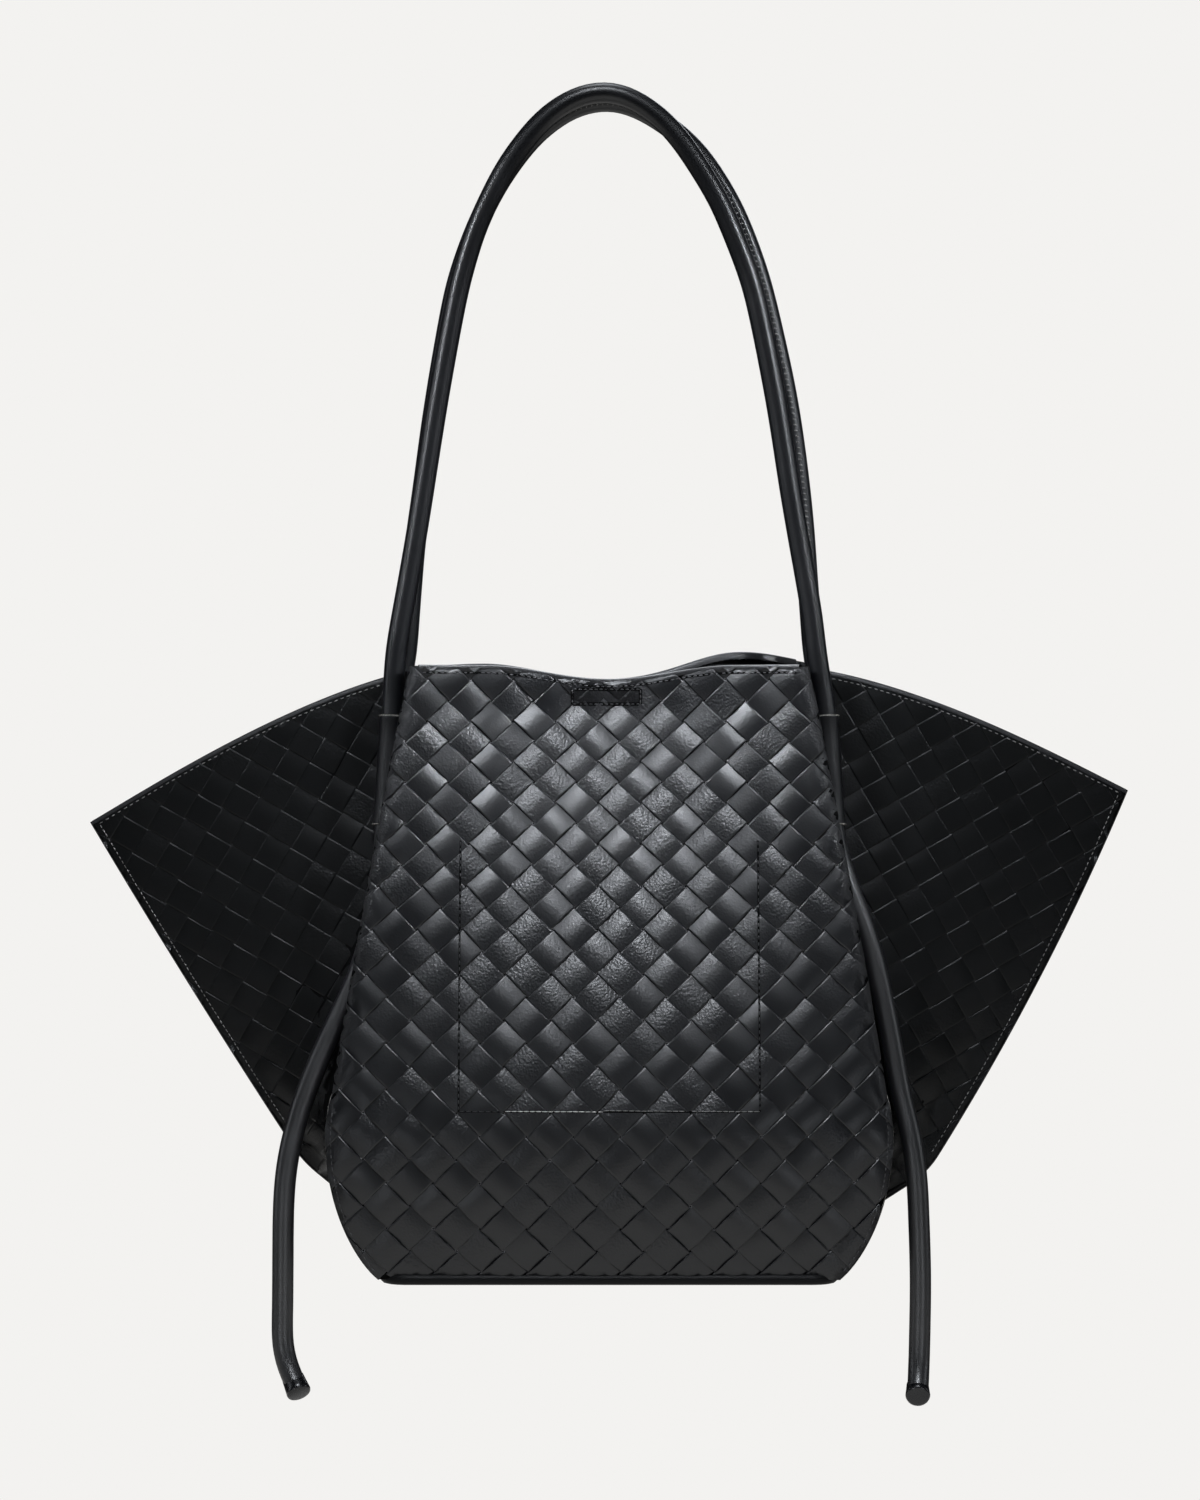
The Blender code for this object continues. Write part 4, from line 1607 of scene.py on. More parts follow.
        def place(across: float, order: float) -> Vector:
            """A point of the edge.

            Args:
                across: Distance along the cloth from its middle.
                order: The number of the section's point.

            Returns:
                The point.
            """
            lift, rise = self.rim_section[round(order)]
            rim = self.shape.rim_height(self.side, across)
            spot, _ = self.face(across, rim - self.rim_edge_drop, lift)
            return spot + Vector((0, 0, rise + self.rim_edge_drop))

        columns = spaced(-reach, reach, 90)
        piece.patch(columns, range(len(self.rim_section)), place, flip=self.side is Side.BACK)
        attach(piece.finish("leather_trim"), self.side.word)

    def raw_edges(self) -> None:
        """The cut edges low down at the panel's sides, with their pale fibres."""
        piece = Piece(f"{self.side.word}_raw_edges", RAW_EDGE)
        rows = spaced(*self.raw_edge_heights, 40)
        for hand in Hand:

            def place(order: float, height: float) -> Vector:
                """A point of the edge.

                Args:
                    order: How far through the cloth, from 0 to 1.
                    height: Height above the base's underside.

                Returns:
                    The point.
                """
                limit = self.shape.cloth_limit(height)
                proud, depth = self.raw_edge_depths
                spot, _ = self.face(hand.value * limit, height, proud - depth * order)
                most, start = self.raw_edge_bow
                bow = most * math.sin(math.pi * order)
                return spot + Vector((hand.value * (bow + start), 0, 0))

            piece.patch([0.0, 0.5, 1.0], rows, place, flip=hand.value * self.side.value > 0)
        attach(piece.finish("leather_body"), self.side.word)


@dataclass
class FrontSeams:
    """The seams that show through on the front panel: the pocket's and the magnet's."""

    panel: Panel
    pocket_half_width: float = 0.0765
    pocket_bottom: float = 0.0888
    pocket_top: float = 0.226
    closure_ends: Pair = (-0.0190, 0.0163)
    closure_bottom: float = 0.2965
    closure_drop: float = 0.0036
    # Widths of the near-black bands painted as the seams' groove shade.
    side_groove: float = 0.0010
    low_groove: float = 0.0008
    magnet_groove: float = 0.0018
    low_stitch: Point = (0.0033, 0.0005, 0.0005)
    low_pitch: float = 0.0032
    magnet_stitch: Point = (0.0021, 0.0007, 0.0007)
    magnet_pitch: float = 0.0027
    groove_step: float = 0.0006
    groove_lift: float = 0.00008
    patch_lift: float = 0.00004
    # Where the pocket's low row turns to grey thread.
    grey_from: float = -0.003
    # Where the pale painted-highlight stretch of the pocket's low row starts.
    highlight_from: float = -0.053

    def _line(self, start: Pair, end: Pair, lift: float, share: float) -> Ray:
        """A place in a straight seam on the panel's face.

        Args:
            start: The seam's first end, as a distance across and a height.
            end: Its last end.
            lift: How far the stitches stand above the strips.
            share: How far along.

        Returns:
            The place and its outward direction.
        """
        across, height = (mix(first, last, share) for first, last in zip(start, end))
        return self.panel.on_weave(across, height, lift)

    def _groove_shade(self, piece: Piece, start: Pair, end: Pair, width: float, finish: int) -> None:
        """Adds a near-black band laid on the strips: painted shade of the crease that a seam pulls into the
        leather.

        Args:
            piece: The piece that it goes into.
            start: Its first end, as a distance across and a height.
            end: Its last end.
            width: How wide it is.
            finish: Which of the piece's finishes it has.
        """
        run = Vector((end[0] - start[0], end[1] - start[1]))
        wide = Vector((-run.y, run.x)).normalized() * width / 2
        steps = max(round(run.length / self.groove_step), 2)

        def place(share: float, side: float) -> Vector:
            """A point of the painted shade band."""
            spot = Vector(start) + run * share + wide * side
            return self.panel.over_weave(spot.x, spot.y, self.groove_lift)

        piece.patch(spaced(0.0, 1.0, steps), [-1.0, 0.0, 1.0], place, 0.0, finish)

    def pocket_seam(self) -> None:
        """The U of stitches that holds the inner pocket."""
        piece = Piece("front_pocket_stitches", DARK_THREAD, HIGHLIGHT_THREAD, GROOVE_SHADE, GREY_THREAD)
        half, low, high = self.pocket_half_width, self.pocket_bottom, self.pocket_top
        for x in (-half, half):
            self._groove_shade(piece, (x, low), (x, high), self.side_groove, 2)
        self._groove_shade(piece, (-half, low), (half, low), self.low_groove, 2)
        for x in (-half, half):
            row = partial(self._line, (x, low), (x, high), self.panel.stitch_lift)
            piece.stitch_row(row, high - low)
        # The low row runs dark thread, then pale thread as a painted highlight, then grey thread.
        stops = (-half, self.highlight_from, self.grey_from, half)
        for start, end, finish in zip(stops, stops[1:], (0, 1, 3)):
            row = partial(self._line, (start, low + 0.0002 * finish), (end, low), 0.0002)
            piece.stitch_row(row, end - start, self.low_pitch, self.low_stitch, finish)
        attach(piece.finish("leather_trim"), self.panel.side.word)

    def magnet_seam(self) -> None:
        """The stitched rectangle that holds the magnet."""
        piece = Piece("front_magnet_stitches", DARK_THREAD, GROOVE_SHADE, RECESS_SHADE_PATCH)
        left, right = self.closure_ends
        top = self.panel.shape.rim_height(Side.FRONT, 0.0) - self.closure_drop - 0.0012
        low = self.closure_bottom

        def patch(across: float, height: float) -> Vector:
            """A point of the flat leather inside the rectangle, painted darker as the shade of its recess.
            """
            return self.panel.over_weave(across, height, self.patch_lift)

        piece.patch(spaced(left, right, 70), spaced(low, top, 22), patch, 0.5, 2)
        for start, end in (
            ((left, low), (right, low)), ((left, top), (right, top)),
            ((left, low), (left, top)), ((right, low), (right, top)),
        ):
            length = math.hypot(end[0] - start[0], end[1] - start[1])
            self._groove_shade(piece, start, end, self.magnet_groove, 1)
            row = partial(self._line, start, end, self.panel.stitch_lift)
            piece.stitch_row(row, length, self.magnet_pitch, self.magnet_stitch)
        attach(piece.finish("leather_trim"), self.panel.side.word)


@dataclass
class Wing:
    """One layer of a wing: the gusset pulled out flat and sewn to its twin along the edge."""

    shape: BagShape
    hand: Hand
    side: Side
    strip_along: Pair = (0.0120, 0.0069)
    strip_across: Pair = (-0.0073, 0.0125)
    node: str = field(init=False)
    tree: BVHTree = field(init=False)
    ends: list[tuple[Vector, Vector]] = field(init=False)
    flipped: bool = field(init=False)
    cloth_reach: int = 17
    middle: Pair = (0.17, 0.22)
    lattice_middle: Pair = (0.17, 0.20)
    near_steps: tuple[float, ...] = (0.0006, 0.0030, 0.0060, 0.0090)
    slope_step: float = 0.004
    edge_press: Pair = (0.20, 0.006)
    sway: Point = (0.0010, 14.0, 0.02)
    backing_cuts: Pair = (0.112, 0.238)
    backing_sink: float = 0.0004
    bend_reaches: Pair = (0.235, 0.118)
    panel_gap: float = 0.002
    overlap: float = 0.002
    above_inset: Pair = (0.105, 0.001)
    outer_row: Pair = (0.14, 0.985)
    top_row: Pair = (0.112, 0.004)
    row_lengths: Pair = (0.245, 0.165)
    stitch_pitch: float = 0.0034
    top_edge_inset: Pair = (0.108, 0.0006)
    top_edge_drop: float = 0.0006
    top_edge_sink: float = 0.0007
    stitch_inset: float = 0.0036
    stitch_lift: float = 0.0011
    stitch_size: Point = (0.0021, 0.00055, 0.0005)
    edge_depth: float = 0.0017
    top_section: tuple[Pair, ...] = (
        (-0.0014, -0.0010), (-0.0012, 0.0002), (-0.0004, 0.0008), (0.0006, 0.0007),
        (0.0012, -0.0002), (0.0013, -0.0016),
    )

    def __post_init__(self) -> None:
        """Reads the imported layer's surface and works out its outline."""
        self.node = f"{self.hand.word}_wing_{self.side.word}"
        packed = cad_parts[self.node]
        self.tree = BVHTree.FromObject(packed, bpy.context.evaluated_depsgraph_get())
        outline = self.shape.wing_outline(self.hand)
        self.ends = list(zip(outline, outline[1:] + outline[:1]))
        self.flipped = self.hand.value * self.side.value > 0

    def _reach(self, start: float, inset: float, share: float) -> float:
        """A distance from the bag's middle, on the way from a start to an inset from the tip."""
        return mix(start, self.shape.tip_span / 2 - inset, share)

    def _spot(self, reach: float, height: float) -> Vector:
        """The (x, z) place of a distance from the bag's middle and a height."""
        return Vector((self.hand.value * reach, self.shape.level(height)))

    def _depth(self, spot: Vector) -> float | None:
        """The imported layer's outer Y at a place seen from outside.

        Args:
            spot: The (x, z) place.

        Returns:
            The Y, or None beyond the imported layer.
        """
        start = Vector((spot.x, self.side.value * 0.2, spot.y))
        hit = self.tree.ray_cast(start, Vector((0, -self.side.value, 0)))[0]
        return None if hit is None else hit.y

    def _near_depth(self, spot: Vector) -> tuple[Vector, float]:
        """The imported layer's nearest place towards the wing's middle, and its outer Y.

        Args:
            spot: The (x, z) place.

        Returns:
            The place and its Y.
        """
        towards = (self._spot(*self.middle) - spot).normalized()
        for step in self.near_steps:
            depth = self._depth(spot + towards * step)
            if depth is not None:
                return spot + towards * step, depth
        return spot, self.side.value * self.edge_depth

    def _inside(self, spot: Vector) -> bool:
        """Whether a place is within the outline.

        Args:
            spot: The (x, z) place.

        Returns:
            Whether it is.
        """
        crossings = 0
        for first, second in self.ends:
            if (first.y > spot.y) != (second.y > spot.y):
                share = (spot.y - first.y) / (second.y - first.y)
                crossings += spot.x < mix(first.x, second.x, share)
        return crossings % 2 == 1

    def _nearest(self, spot: Vector) -> tuple[Vector, float]:
        """The nearest point of the outline and its distance.

        Args:
            spot: The (x, z) place.

        Returns:
            The point and its distance.
        """
        best, gap = spot, math.inf
        for first, second in self.ends:
            point, share = intersect_point_line(spot, first, second)
            if share < 0:
                point = first
            elif share > 1:
                point = second
            distance = (Vector(point[:2]) - spot).length
            if distance < gap:
                best, gap = Vector(point[:2]), distance
        return best, gap

    def surface(self, spot: Vector, lift: float) -> Vector:
        """The point above a place, kept to the outline.

        Args:
            spot: The (x, z) place.
            lift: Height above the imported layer.

        Returns:
            The point.
        """
        edge, gap = self._nearest(spot)
        if not self._inside(spot):
            spot, gap = edge, 0.0
        inner, depth = self._near_depth(spot)
        step = self.slope_step
        slopes = []
        for shift in (Vector((step, 0)), Vector((0, step))):
            ahead, behind = self._depth(inner + shift), self._depth(inner - shift)
            slopes.append(0.0 if ahead is None or behind is None else (ahead - behind) / (2 * step))
        out = Vector((slopes[0], -1, slopes[1])) * -self.side.value
        panel = self.shape.half_width(spot.y + self.shape.hang_height)
        clear = abs(spot.x) - panel - self.panel_gap
        least, run = self.edge_press
        press = mix(least, 1.0, smoothstep(min(gap, max(clear, 0.0)) / run))
        most, turns, run = self.sway
        sway = most * noise.noise(Vector((spot.x * turns, spot.y * turns, self.side.value * 2.7)))
        lift = lift * press + sway * smoothstep(gap / run)
        return Vector((spot.x, depth, spot.y)) + out.normalized() * lift

    def cloth(self) -> None:
        """The layer's woven cloth."""
        piece = Piece(f"{self.node}_weave", WING_STRIP, UNDER_SHADE)
        cuts = [self.hand.value * reach for reach in spaced(*self.backing_cuts, 28)]
        # The copied solid under the strips takes the painted-shade leather.
        piece.solid_copy(self.node, 1, cuts=cuts)
        along = Vector((self.strip_along[0], self.strip_along[1] * self.hand.value))
        across = Vector((self.strip_across[0] * self.hand.value, self.strip_across[1]))
        lattice = Weave(
            along, across, self._spot(*self.lattice_middle), self.hand is Hand.LEFT, rise=0.00062,
            edge_drop=0.00028, strip_share=0.985,
        )

        def below(share: float, out: float) -> Vector:
            """A point of the layer under the strips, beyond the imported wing's outer edge.

            Args:
                share: How far up the edge.
                out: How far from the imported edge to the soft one.

            Returns:
                The point.
            """
            packed = self.shape.packed_edge(self.hand, share)
            spot = self._spot(*packed.lerp(self.shape.wing_edge(self.hand, share), out))
            depth = self.side.value * (self.edge_depth - self.backing_sink)
            return Vector((spot.x, depth, spot.y))

        def above(share: float, out: float) -> Vector:
            """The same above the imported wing's top edge.

            Args:
                share: How far out along the edge.
                out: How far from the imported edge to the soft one.

            Returns:
                The point.
            """
            reach = self._reach(*self.above_inset, share)
            low = self.shape.wing_top(self.hand, reach, False) - self.overlap
            spot = self._spot(reach, mix(low, self.shape.wing_top(self.hand, reach), out))
            depth = self._near_depth(spot)[1] - self.side.value * self.backing_sink
            return Vector((spot.x, depth, spot.y))

        # The layer under the strips beyond the imported edges takes the painted-shade leather too.
        for place, flip in ((below, not self.flipped), (above, self.flipped)):
            piece.patch(spaced(0.0, 1.0, 50), [0.0, 0.5, 1.0], place, 0.2, 1, flip)
        seed = 10.0 + self.hand.value + 3 * self.side.value
        flip = self.side is Side.BACK
        lattice.fill(piece, self.surface, self._inside, self.cloth_reach, flip, seed)
        self._bend(piece.finish("leather_body", [self.node]))

    def _bend(self, made: bpy.types.Object) -> None:
        """Lets a piece follow the base at its outer edge and the panel beside it.

        Args:
            made: The piece.
        """
        level = self.shape.level(0.2)
        start, end = ((self.hand.value * reach, 0.0, level) for reach in self.bend_reaches)
        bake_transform(made, "bag", self.side.word, start, end)

    def stitches(self) -> None:
        """The stitches beside the outer edge and under the top edge."""
        piece = Piece(f"{self.node}_stitches", GREY_THREAD)
        outwards = Vector((0, self.side.value, 0))

        def outer(share: float) -> Ray:
            """A place in the row beside the outer edge.

            Args:
                share: How far up the row.

            Returns:
                The place and its outward direction.
            """
            place = mix(*self.outer_row, share)
            spot = self.shape.wing_edge(self.hand, place)
            spot = spot - self.shape.wing_side(self.hand, place) * self.stitch_inset
            return self.surface(self._spot(*spot), self.stitch_lift), outwards

        def top(share: float) -> Ray:
            """A place in the row under the top edge.

            Args:
                share: How far out along the row.

            Returns:
                The place and its outward direction.
            """
            x = self._reach(*self.top_row, share)
            height = self.shape.wing_top(self.hand, x) - self.stitch_inset
            return self.surface(self._spot(x, height), self.stitch_lift), outwards

        for row, length in zip((outer, top), self.row_lengths):
            piece.stitch_row(row, length, self.stitch_pitch, self.stitch_size)
        self._bend(piece.finish("leather_trim"))

    def top_edge(self) -> None:
        """The folded edge along the top."""
        piece = Piece(f"{self.node}_top_edge", PAINTED_EDGE)

        def place(share: float, order: float) -> Vector:
            """A point of the edge.

            Args:
                share: How far out along the edge.
                order: The number of the section's point.

            Returns:
                The point.
            """
            out, rise = self.top_section[round(order)]
            x = self._reach(*self.top_edge_inset, share)
            height = self.shape.wing_top(self.hand, x) - self.top_edge_drop
            spot = self._spot(x, height)
            depth = self._near_depth(spot)[1] + self.side.value * (out - self.top_edge_sink)
            return Vector((spot.x, depth, spot.y + rise))

        rows = range(len(self.top_section))
        piece.patch(spaced(0.0, 1.0, 60), rows, place, flip=self.flipped)
        self._bend(piece.finish("leather_trim"))


@dataclass
class WingEdge:
    """The painted edge where a wing's two layers meet."""

    shape: BagShape
    hand: Hand
    half_depth: float = 0.0023
    bulge: float = 0.0007
    inset: float = 0.0003
    section: tuple[Pair, ...] = (
        (0.0, -1.0), (0.7, -0.9), (1.0, -0.45), (0.85, 0.0), (1.0, 0.45), (0.7, 0.9), (0.0, 1.0),
    )

    def build(self) -> None:
        """The edge, as a rounded band over both layers' ends."""
        piece = Piece(f"{self.hand.word}_wing_edge", PAINTED_EDGE)

        def place(share: float, order: float) -> Vector:
            """A point of the edge.

            Args:
                share: How far up the edge.
                order: The number of the section's point.

            Returns:
                The point.
            """
            out, depth = self.section[round(order)]
            push = self.shape.wing_side(self.hand, share) * (self.bulge * out - self.inset)
            spot = self.shape.wing_edge(self.hand, share) + push
            x, z = self.hand.value * spot.x, self.shape.level(spot.y)
            return Vector((x, depth * self.half_depth, z))

        rows = range(len(self.section))
        piece.patch(spaced(0.0, 1.0, 80), rows, place, flip=self.hand is Hand.LEFT)
        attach(piece.finish("leather_trim"), "bag")


# The cords' routes as (x, y, z) places, in tenths of a millimetre.
FRONT_STRAP = (
    (-1155, -161, -3731), (-1122, -105, -3177), (-1108, -105, -2879), (-1076, -102, -2671),
    (-1038, -98, -2463), (-1002, -95, -2255), (-968, -92, -2047), (-886, -83, -1527),
    (-791, -74, -1007), (-738, -70, -799), (-689, -68, -643), (-619, -66, -487), (-523, -63, -305),
    (-375, -60, -110), (-260, -58, -11), (-148, -57, 48), (-25, -56, 70), (96, -57, 45),
    (229, -58, -37), (327, -60, -128), (429, -62, -265), (564, -66, -487), (632, -68, -643),
    (694, -70, -799), (760, -74, -1007), (864, -83, -1527), (946, -92, -2047), (1019, -98, -2463),
    (1054, -102, -2671), (1074, -105, -2856), (1122, -105, -3177), (1155, -161, -3731),
)
BACK_STRAP = (
    (-1155, 161, -3731), (-1122, 105, -3177), (-1062, 105, -2879), (-1044, 102, -2671),
    (-1028, 98, -2463), (-1010, 95, -2255), (-980, 92, -2047), (-907, 83, -1527), (-815, 74, -1007),
    (-758, 70, -799), (-700, 68, -643), (-629, 66, -487), (-530, 63, -320), (-397, 60, -151),
    (-288, 58, -60), (-173, 57, 8), (-25, 56, 41), (90, 57, 24), (185, 58, -17), (331, 60, -110),
    (442, 62, -211), (520, 63, -310), (629, 66, -487), (699, 68, -643), (757, 70, -799),
    (818, 74, -1007), (932, 83, -1527), (1004, 92, -2047), (1037, 98, -2463), (1053, 102, -2671),
    (1068, 105, -2856), (1122, 105, -3177), (1155, 161, -3731),
)
LEFT_TAIL = (
    (-1155, -161, -3731), (-1158, -167, -3789), (-1173, -207, -3999), (-1208, -242, -4209),
    (-1288, -277, -4499), (-1370, -292, -4679), (-1485, -327, -4929), (-1581, -347, -5179),
    (-1645, -387, -5439), (-1665, -407, -5659), (-1668, -417, -5909), (-1670, -417, -6219),
    (-1673, -417, -6359), (-1655, -425, -6469), (-1592, -485, -6600),
)
RIGHT_TAIL = (
    (1155, -161, -3731), (1158, -167, -3789), (1216, -197, -3999), (1295, -227, -4209),
    (1360, -252, -4419), (1437, -282, -4774), (1489, -317, -5079), (1549, -377, -5339),
    (1575, -397, -5539), (1584, -407, -5749), (1592, -417, -6049), (1587, -417, -6379),
    (1583, -428, -6500), (1577, -460, -6585), (1573, -492, -6622),
)


@dataclass
class Cords:
    """The two rolled straps, their sleeves, and the front strap's free tails."""

    radius: float = 0.0055
    sleeve_radius: float = 0.0066
    spacing: float = 0.0040
    sides: int = 24
    groove: float = 0.035
    ridge: float = 0.022
    seam_width: float = 0.16
    seam_pitch: float = 0.0030
    seam_turn: float = 4.0
    seam_slant: float = 0.35
    seam_sink: float = 0.985
    tail_seam_turn: float = 0.45
    tail_seam_ends: Pair = (0.04, 0.98)
    stitch_size: Point = (0.0022, 0.0010, 0.0008)
    sleeve_low: Point = (0.1155, 0.0161, -0.3731)
    sleeve_high: Point = (0.1122, 0.0105, -0.3177)
    sleeve_gap: float = 0.0003
    bend_levels: Pair = (-0.300, -0.268)
    tail_bend: float = 0.016
    cap_profile: tuple[Pair, ...] = (
        (0.0, 0.0039), (0.0050, 0.0039), (0.0060, 0.0034), (0.00635, 0.0024), (0.0062, 0.0008),
        (0.0059, -0.0030), (0.0057, -0.0062), (0.0055, -0.0064), (0.0, -0.0064),
    )
    cap_slants: Pair = (0.25, 0.95)

    def _section(self, angle: float, share: float) -> float:
        """The radius round the cord: a sewn groove at angle 0, with the leather proud beside it.

        Args:
            angle: The angle round the cord.
            share: How far along it, from 0 to 1.

        Returns:
            The radius.
        """
        away = math.remainder(angle, 2 * math.pi) / self.seam_width
        dip = self.groove * math.exp(-(away**2) * 4)
        proud = self.ridge * math.exp(-((abs(away) - 1.3) ** 2) * 3)
        crease = 0.006 * noise.noise(Vector((math.cos(angle), math.sin(angle), share * 34)))
        return self.radius * (1 - dip + proud + crease)

    def _seam(
        self, piece: Piece, path: Sequence[Vector], seam: Callable[[Vector], Vector], ends: Pair
    ) -> None:
        """Adds the stitches across a cord's groove.

        Args:
            piece: The piece that they go into.
            path: The cord's centreline.
            seam: The direction that the groove faces at a place.
            ends: The shares of its length between which it is stitched.
        """
        frames = tube_frames(path, seam)

        def line(share: float) -> Ray:
            """A place in the seam.

            Args:
                share: How far along the seam.

            Returns:
                The place and its outward direction.
            """
            position = mix(ends[0], ends[1], share) * (len(path) - 1)
            order = min(int(position), len(path) - 2)
            centre, first, _ = frames[order]
            after, other, _ = frames[order + 1]
            out = first.lerp(other, position - order).normalized()
            return centre.lerp(after, position - order) + out * self.radius * self.seam_sink, out

        length = (ends[1] - ends[0]) * self.spacing * (len(path) - 1)
        count = round(length / self.seam_pitch)
        for order in range(count):
            share = (order + 0.5) / count
            place, out = line(share)
            along = line(min(share + 0.1 / count, 1.0))[0] - line(max(share - 0.1 / count, 0.0))[0]
            crosswise = out.cross(along).normalized()
            slant = (crosswise + along.normalized() * self.seam_slant).normalized()
            piece.stitch(place, slant, out, self.stitch_size)

    def _sewn(
        self,
        name: str,
        finishes: tuple[Finish, Finish],
        path: Sequence[Vector],
        seam: Callable[[Vector], Vector],
        ends: Pair,
        nodes: Sequence[str],
    ) -> tuple[bpy.types.Object, bpy.types.Object]:
        """A rolled cord and the stitches that close it.

        Args:
            name: The cord's name.
            finishes: Its leather and its thread.
            path: Its centreline.
            seam: The direction that its seam faces at a place.
            ends: The shares of its length between which it is stitched.
            nodes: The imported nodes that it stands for.

        Returns:
            The leather and the stitches.
        """
        leather = Piece(f"{name}_leather", finishes[0])
        leather.tube(path, self._section, self.sides, seam)
        made = leather.finish("leather_cord", nodes)
        thread = Piece(f"{name}_stitches", finishes[1])
        self._seam(thread, path, seam, ends)
        return made, thread.finish("leather_cord")

    def strap(self, side: Side) -> None:
        """A strap from sleeve to sleeve, which bends above the rim.

        Args:
            side: Which strap.
        """
        path = smooth_path(FRONT_STRAP if side is Side.FRONT else BACK_STRAP, self.spacing)

        def seam(place: Vector) -> Vector:
            """The seam's direction: outwards on the back strap, to the back on the front one."""
            outwards = Vector((place.x * self.seam_turn, -1, -0.35))
            return outwards if side is Side.BACK else Vector((0, 1, 0))

        name = f"{side.word}_strap"
        nodes = [name, *(f"{side.word}_{hand.word}_cord_core" for hand in Hand)]
        start, end = ((0, 0, level) for level in self.bend_levels)
        for piece in self._sewn(name, (ROLLED, GREY_THREAD), path, seam, (0.0, 1.0), nodes):
            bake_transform(piece, side.word, f"{side.word}_handle", start, end)

    def tail(self, hand: Hand) -> None:
        """A free tail with its cap, hung from the sleeve's lower mouth.

        Args:
            hand: Which tail.
        """
        points = LEFT_TAIL if hand is Hand.LEFT else RIGHT_TAIL
        path = smooth_path(points, self.spacing)

        def seam(place: Vector) -> Vector:
            """The seam's direction, to the back and outwards."""
            return Vector((self.tail_seam_turn * hand.value, 1, 0))

        name = f"{hand.word}_tail"
        ends = self.tail_seam_ends
        made, sewn = self._sewn(name, (TAIL, SEAM_THREAD), path, seam, ends, [name])
        exit_point = path[0]
        low = exit_point - Vector((0, 0, self.tail_bend))
        for piece in (made, sewn):
            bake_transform(piece, "front", f"{hand.word}_cord", exit_point, low)
        cap = self._cap(hand, path)
        length = sum((second - first).length for first, second in zip(path, path[1:]))
        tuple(exit_point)

    def _cap(self, hand: Hand, path: Sequence[Vector]) -> bpy.types.Object:
        """The small leather cap that closes a tail, folded over and flared at its rim.

        Args:
            hand: Which tail.
            path: The tail's centreline.

        Returns:
            The cap.
        """
        piece = Piece(f"{hand.word}_tail_end", PLAIN)
        slant = self.cap_slants[hand is Hand.RIGHT]
        along = (path[-1] - path[-3]).normalized()
        along = (along + Vector((0, -1, 0.15)) * slant).normalized()
        turn = Vector((0, 0, 1)).rotation_difference(along).to_matrix().to_4x4()
        piece.turned(self.cap_profile, Matrix.Translation(path[-1]) @ turn)
        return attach(piece.finish("leather_trim", [f"{hand.word}_tail_cap"]), f"{hand.word}_cord")

    def sleeve(self, side: Side, hand: Hand) -> None:
        """A sleeve with rolled mouths, each with a thin ring of raw edge.

        Args:
            side: Which panel it is on.
            hand: At which end of the strap.
        """
        mirror = Matrix.Diagonal((hand.value, side.value, 1))
        low, high = mirror @ Vector(self.sleeve_low), mirror @ Vector(self.sleeve_high)
        axis = high - low
        half = axis.length / 2
        outer, bore = self.sleeve_radius, self.radius + self.sleeve_gap
        mouth = [(bore, 0.0), (bore + 0.0001, -0.0002), (outer + 0.0002, 0.0)]
        mouth += [(outer + 0.0003, 0.0007), (outer, 0.0018)]
        profile = [(radius, rise - half) for radius, rise in mouth]
        profile += [(outer - 0.0001, mix(-half, half, share)) for share in (0.25, 0.5, 0.75)]
        profile += [(radius, half - rise) for radius, rise in reversed(mouth)]
        piece = Piece(f"{side.word}_{hand.word}_sleeve_leather", SLEEVE)
        turn = Vector((0, 0, 1)).rotation_difference(axis).to_matrix().to_4x4()
        piece.turned(profile, Matrix.Translation((low + high) / 2) @ turn, 32)
        node = f"{side.word}_{hand.word}_sleeve"
        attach(piece.finish("leather_trim", [node]), side.word)
        rims = Piece(f"{node}_mouths", RAW_EDGE)
        for end in (-half, half):
            inner, proud, thick = bore + 0.0002, outer + 0.0005, 0.0005
            ring = ((inner, 0.0), (proud, 0.0), (proud, thick), (inner, thick))
            shift = end + (0.0001 if end > 0 else -0.0006)
            place = Matrix.Translation((low + high) / 2) @ turn @ Matrix.Translation((0, 0, shift))
            rims.turned(ring, place, 32)
        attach(rims.finish("leather_trim"), side.word)


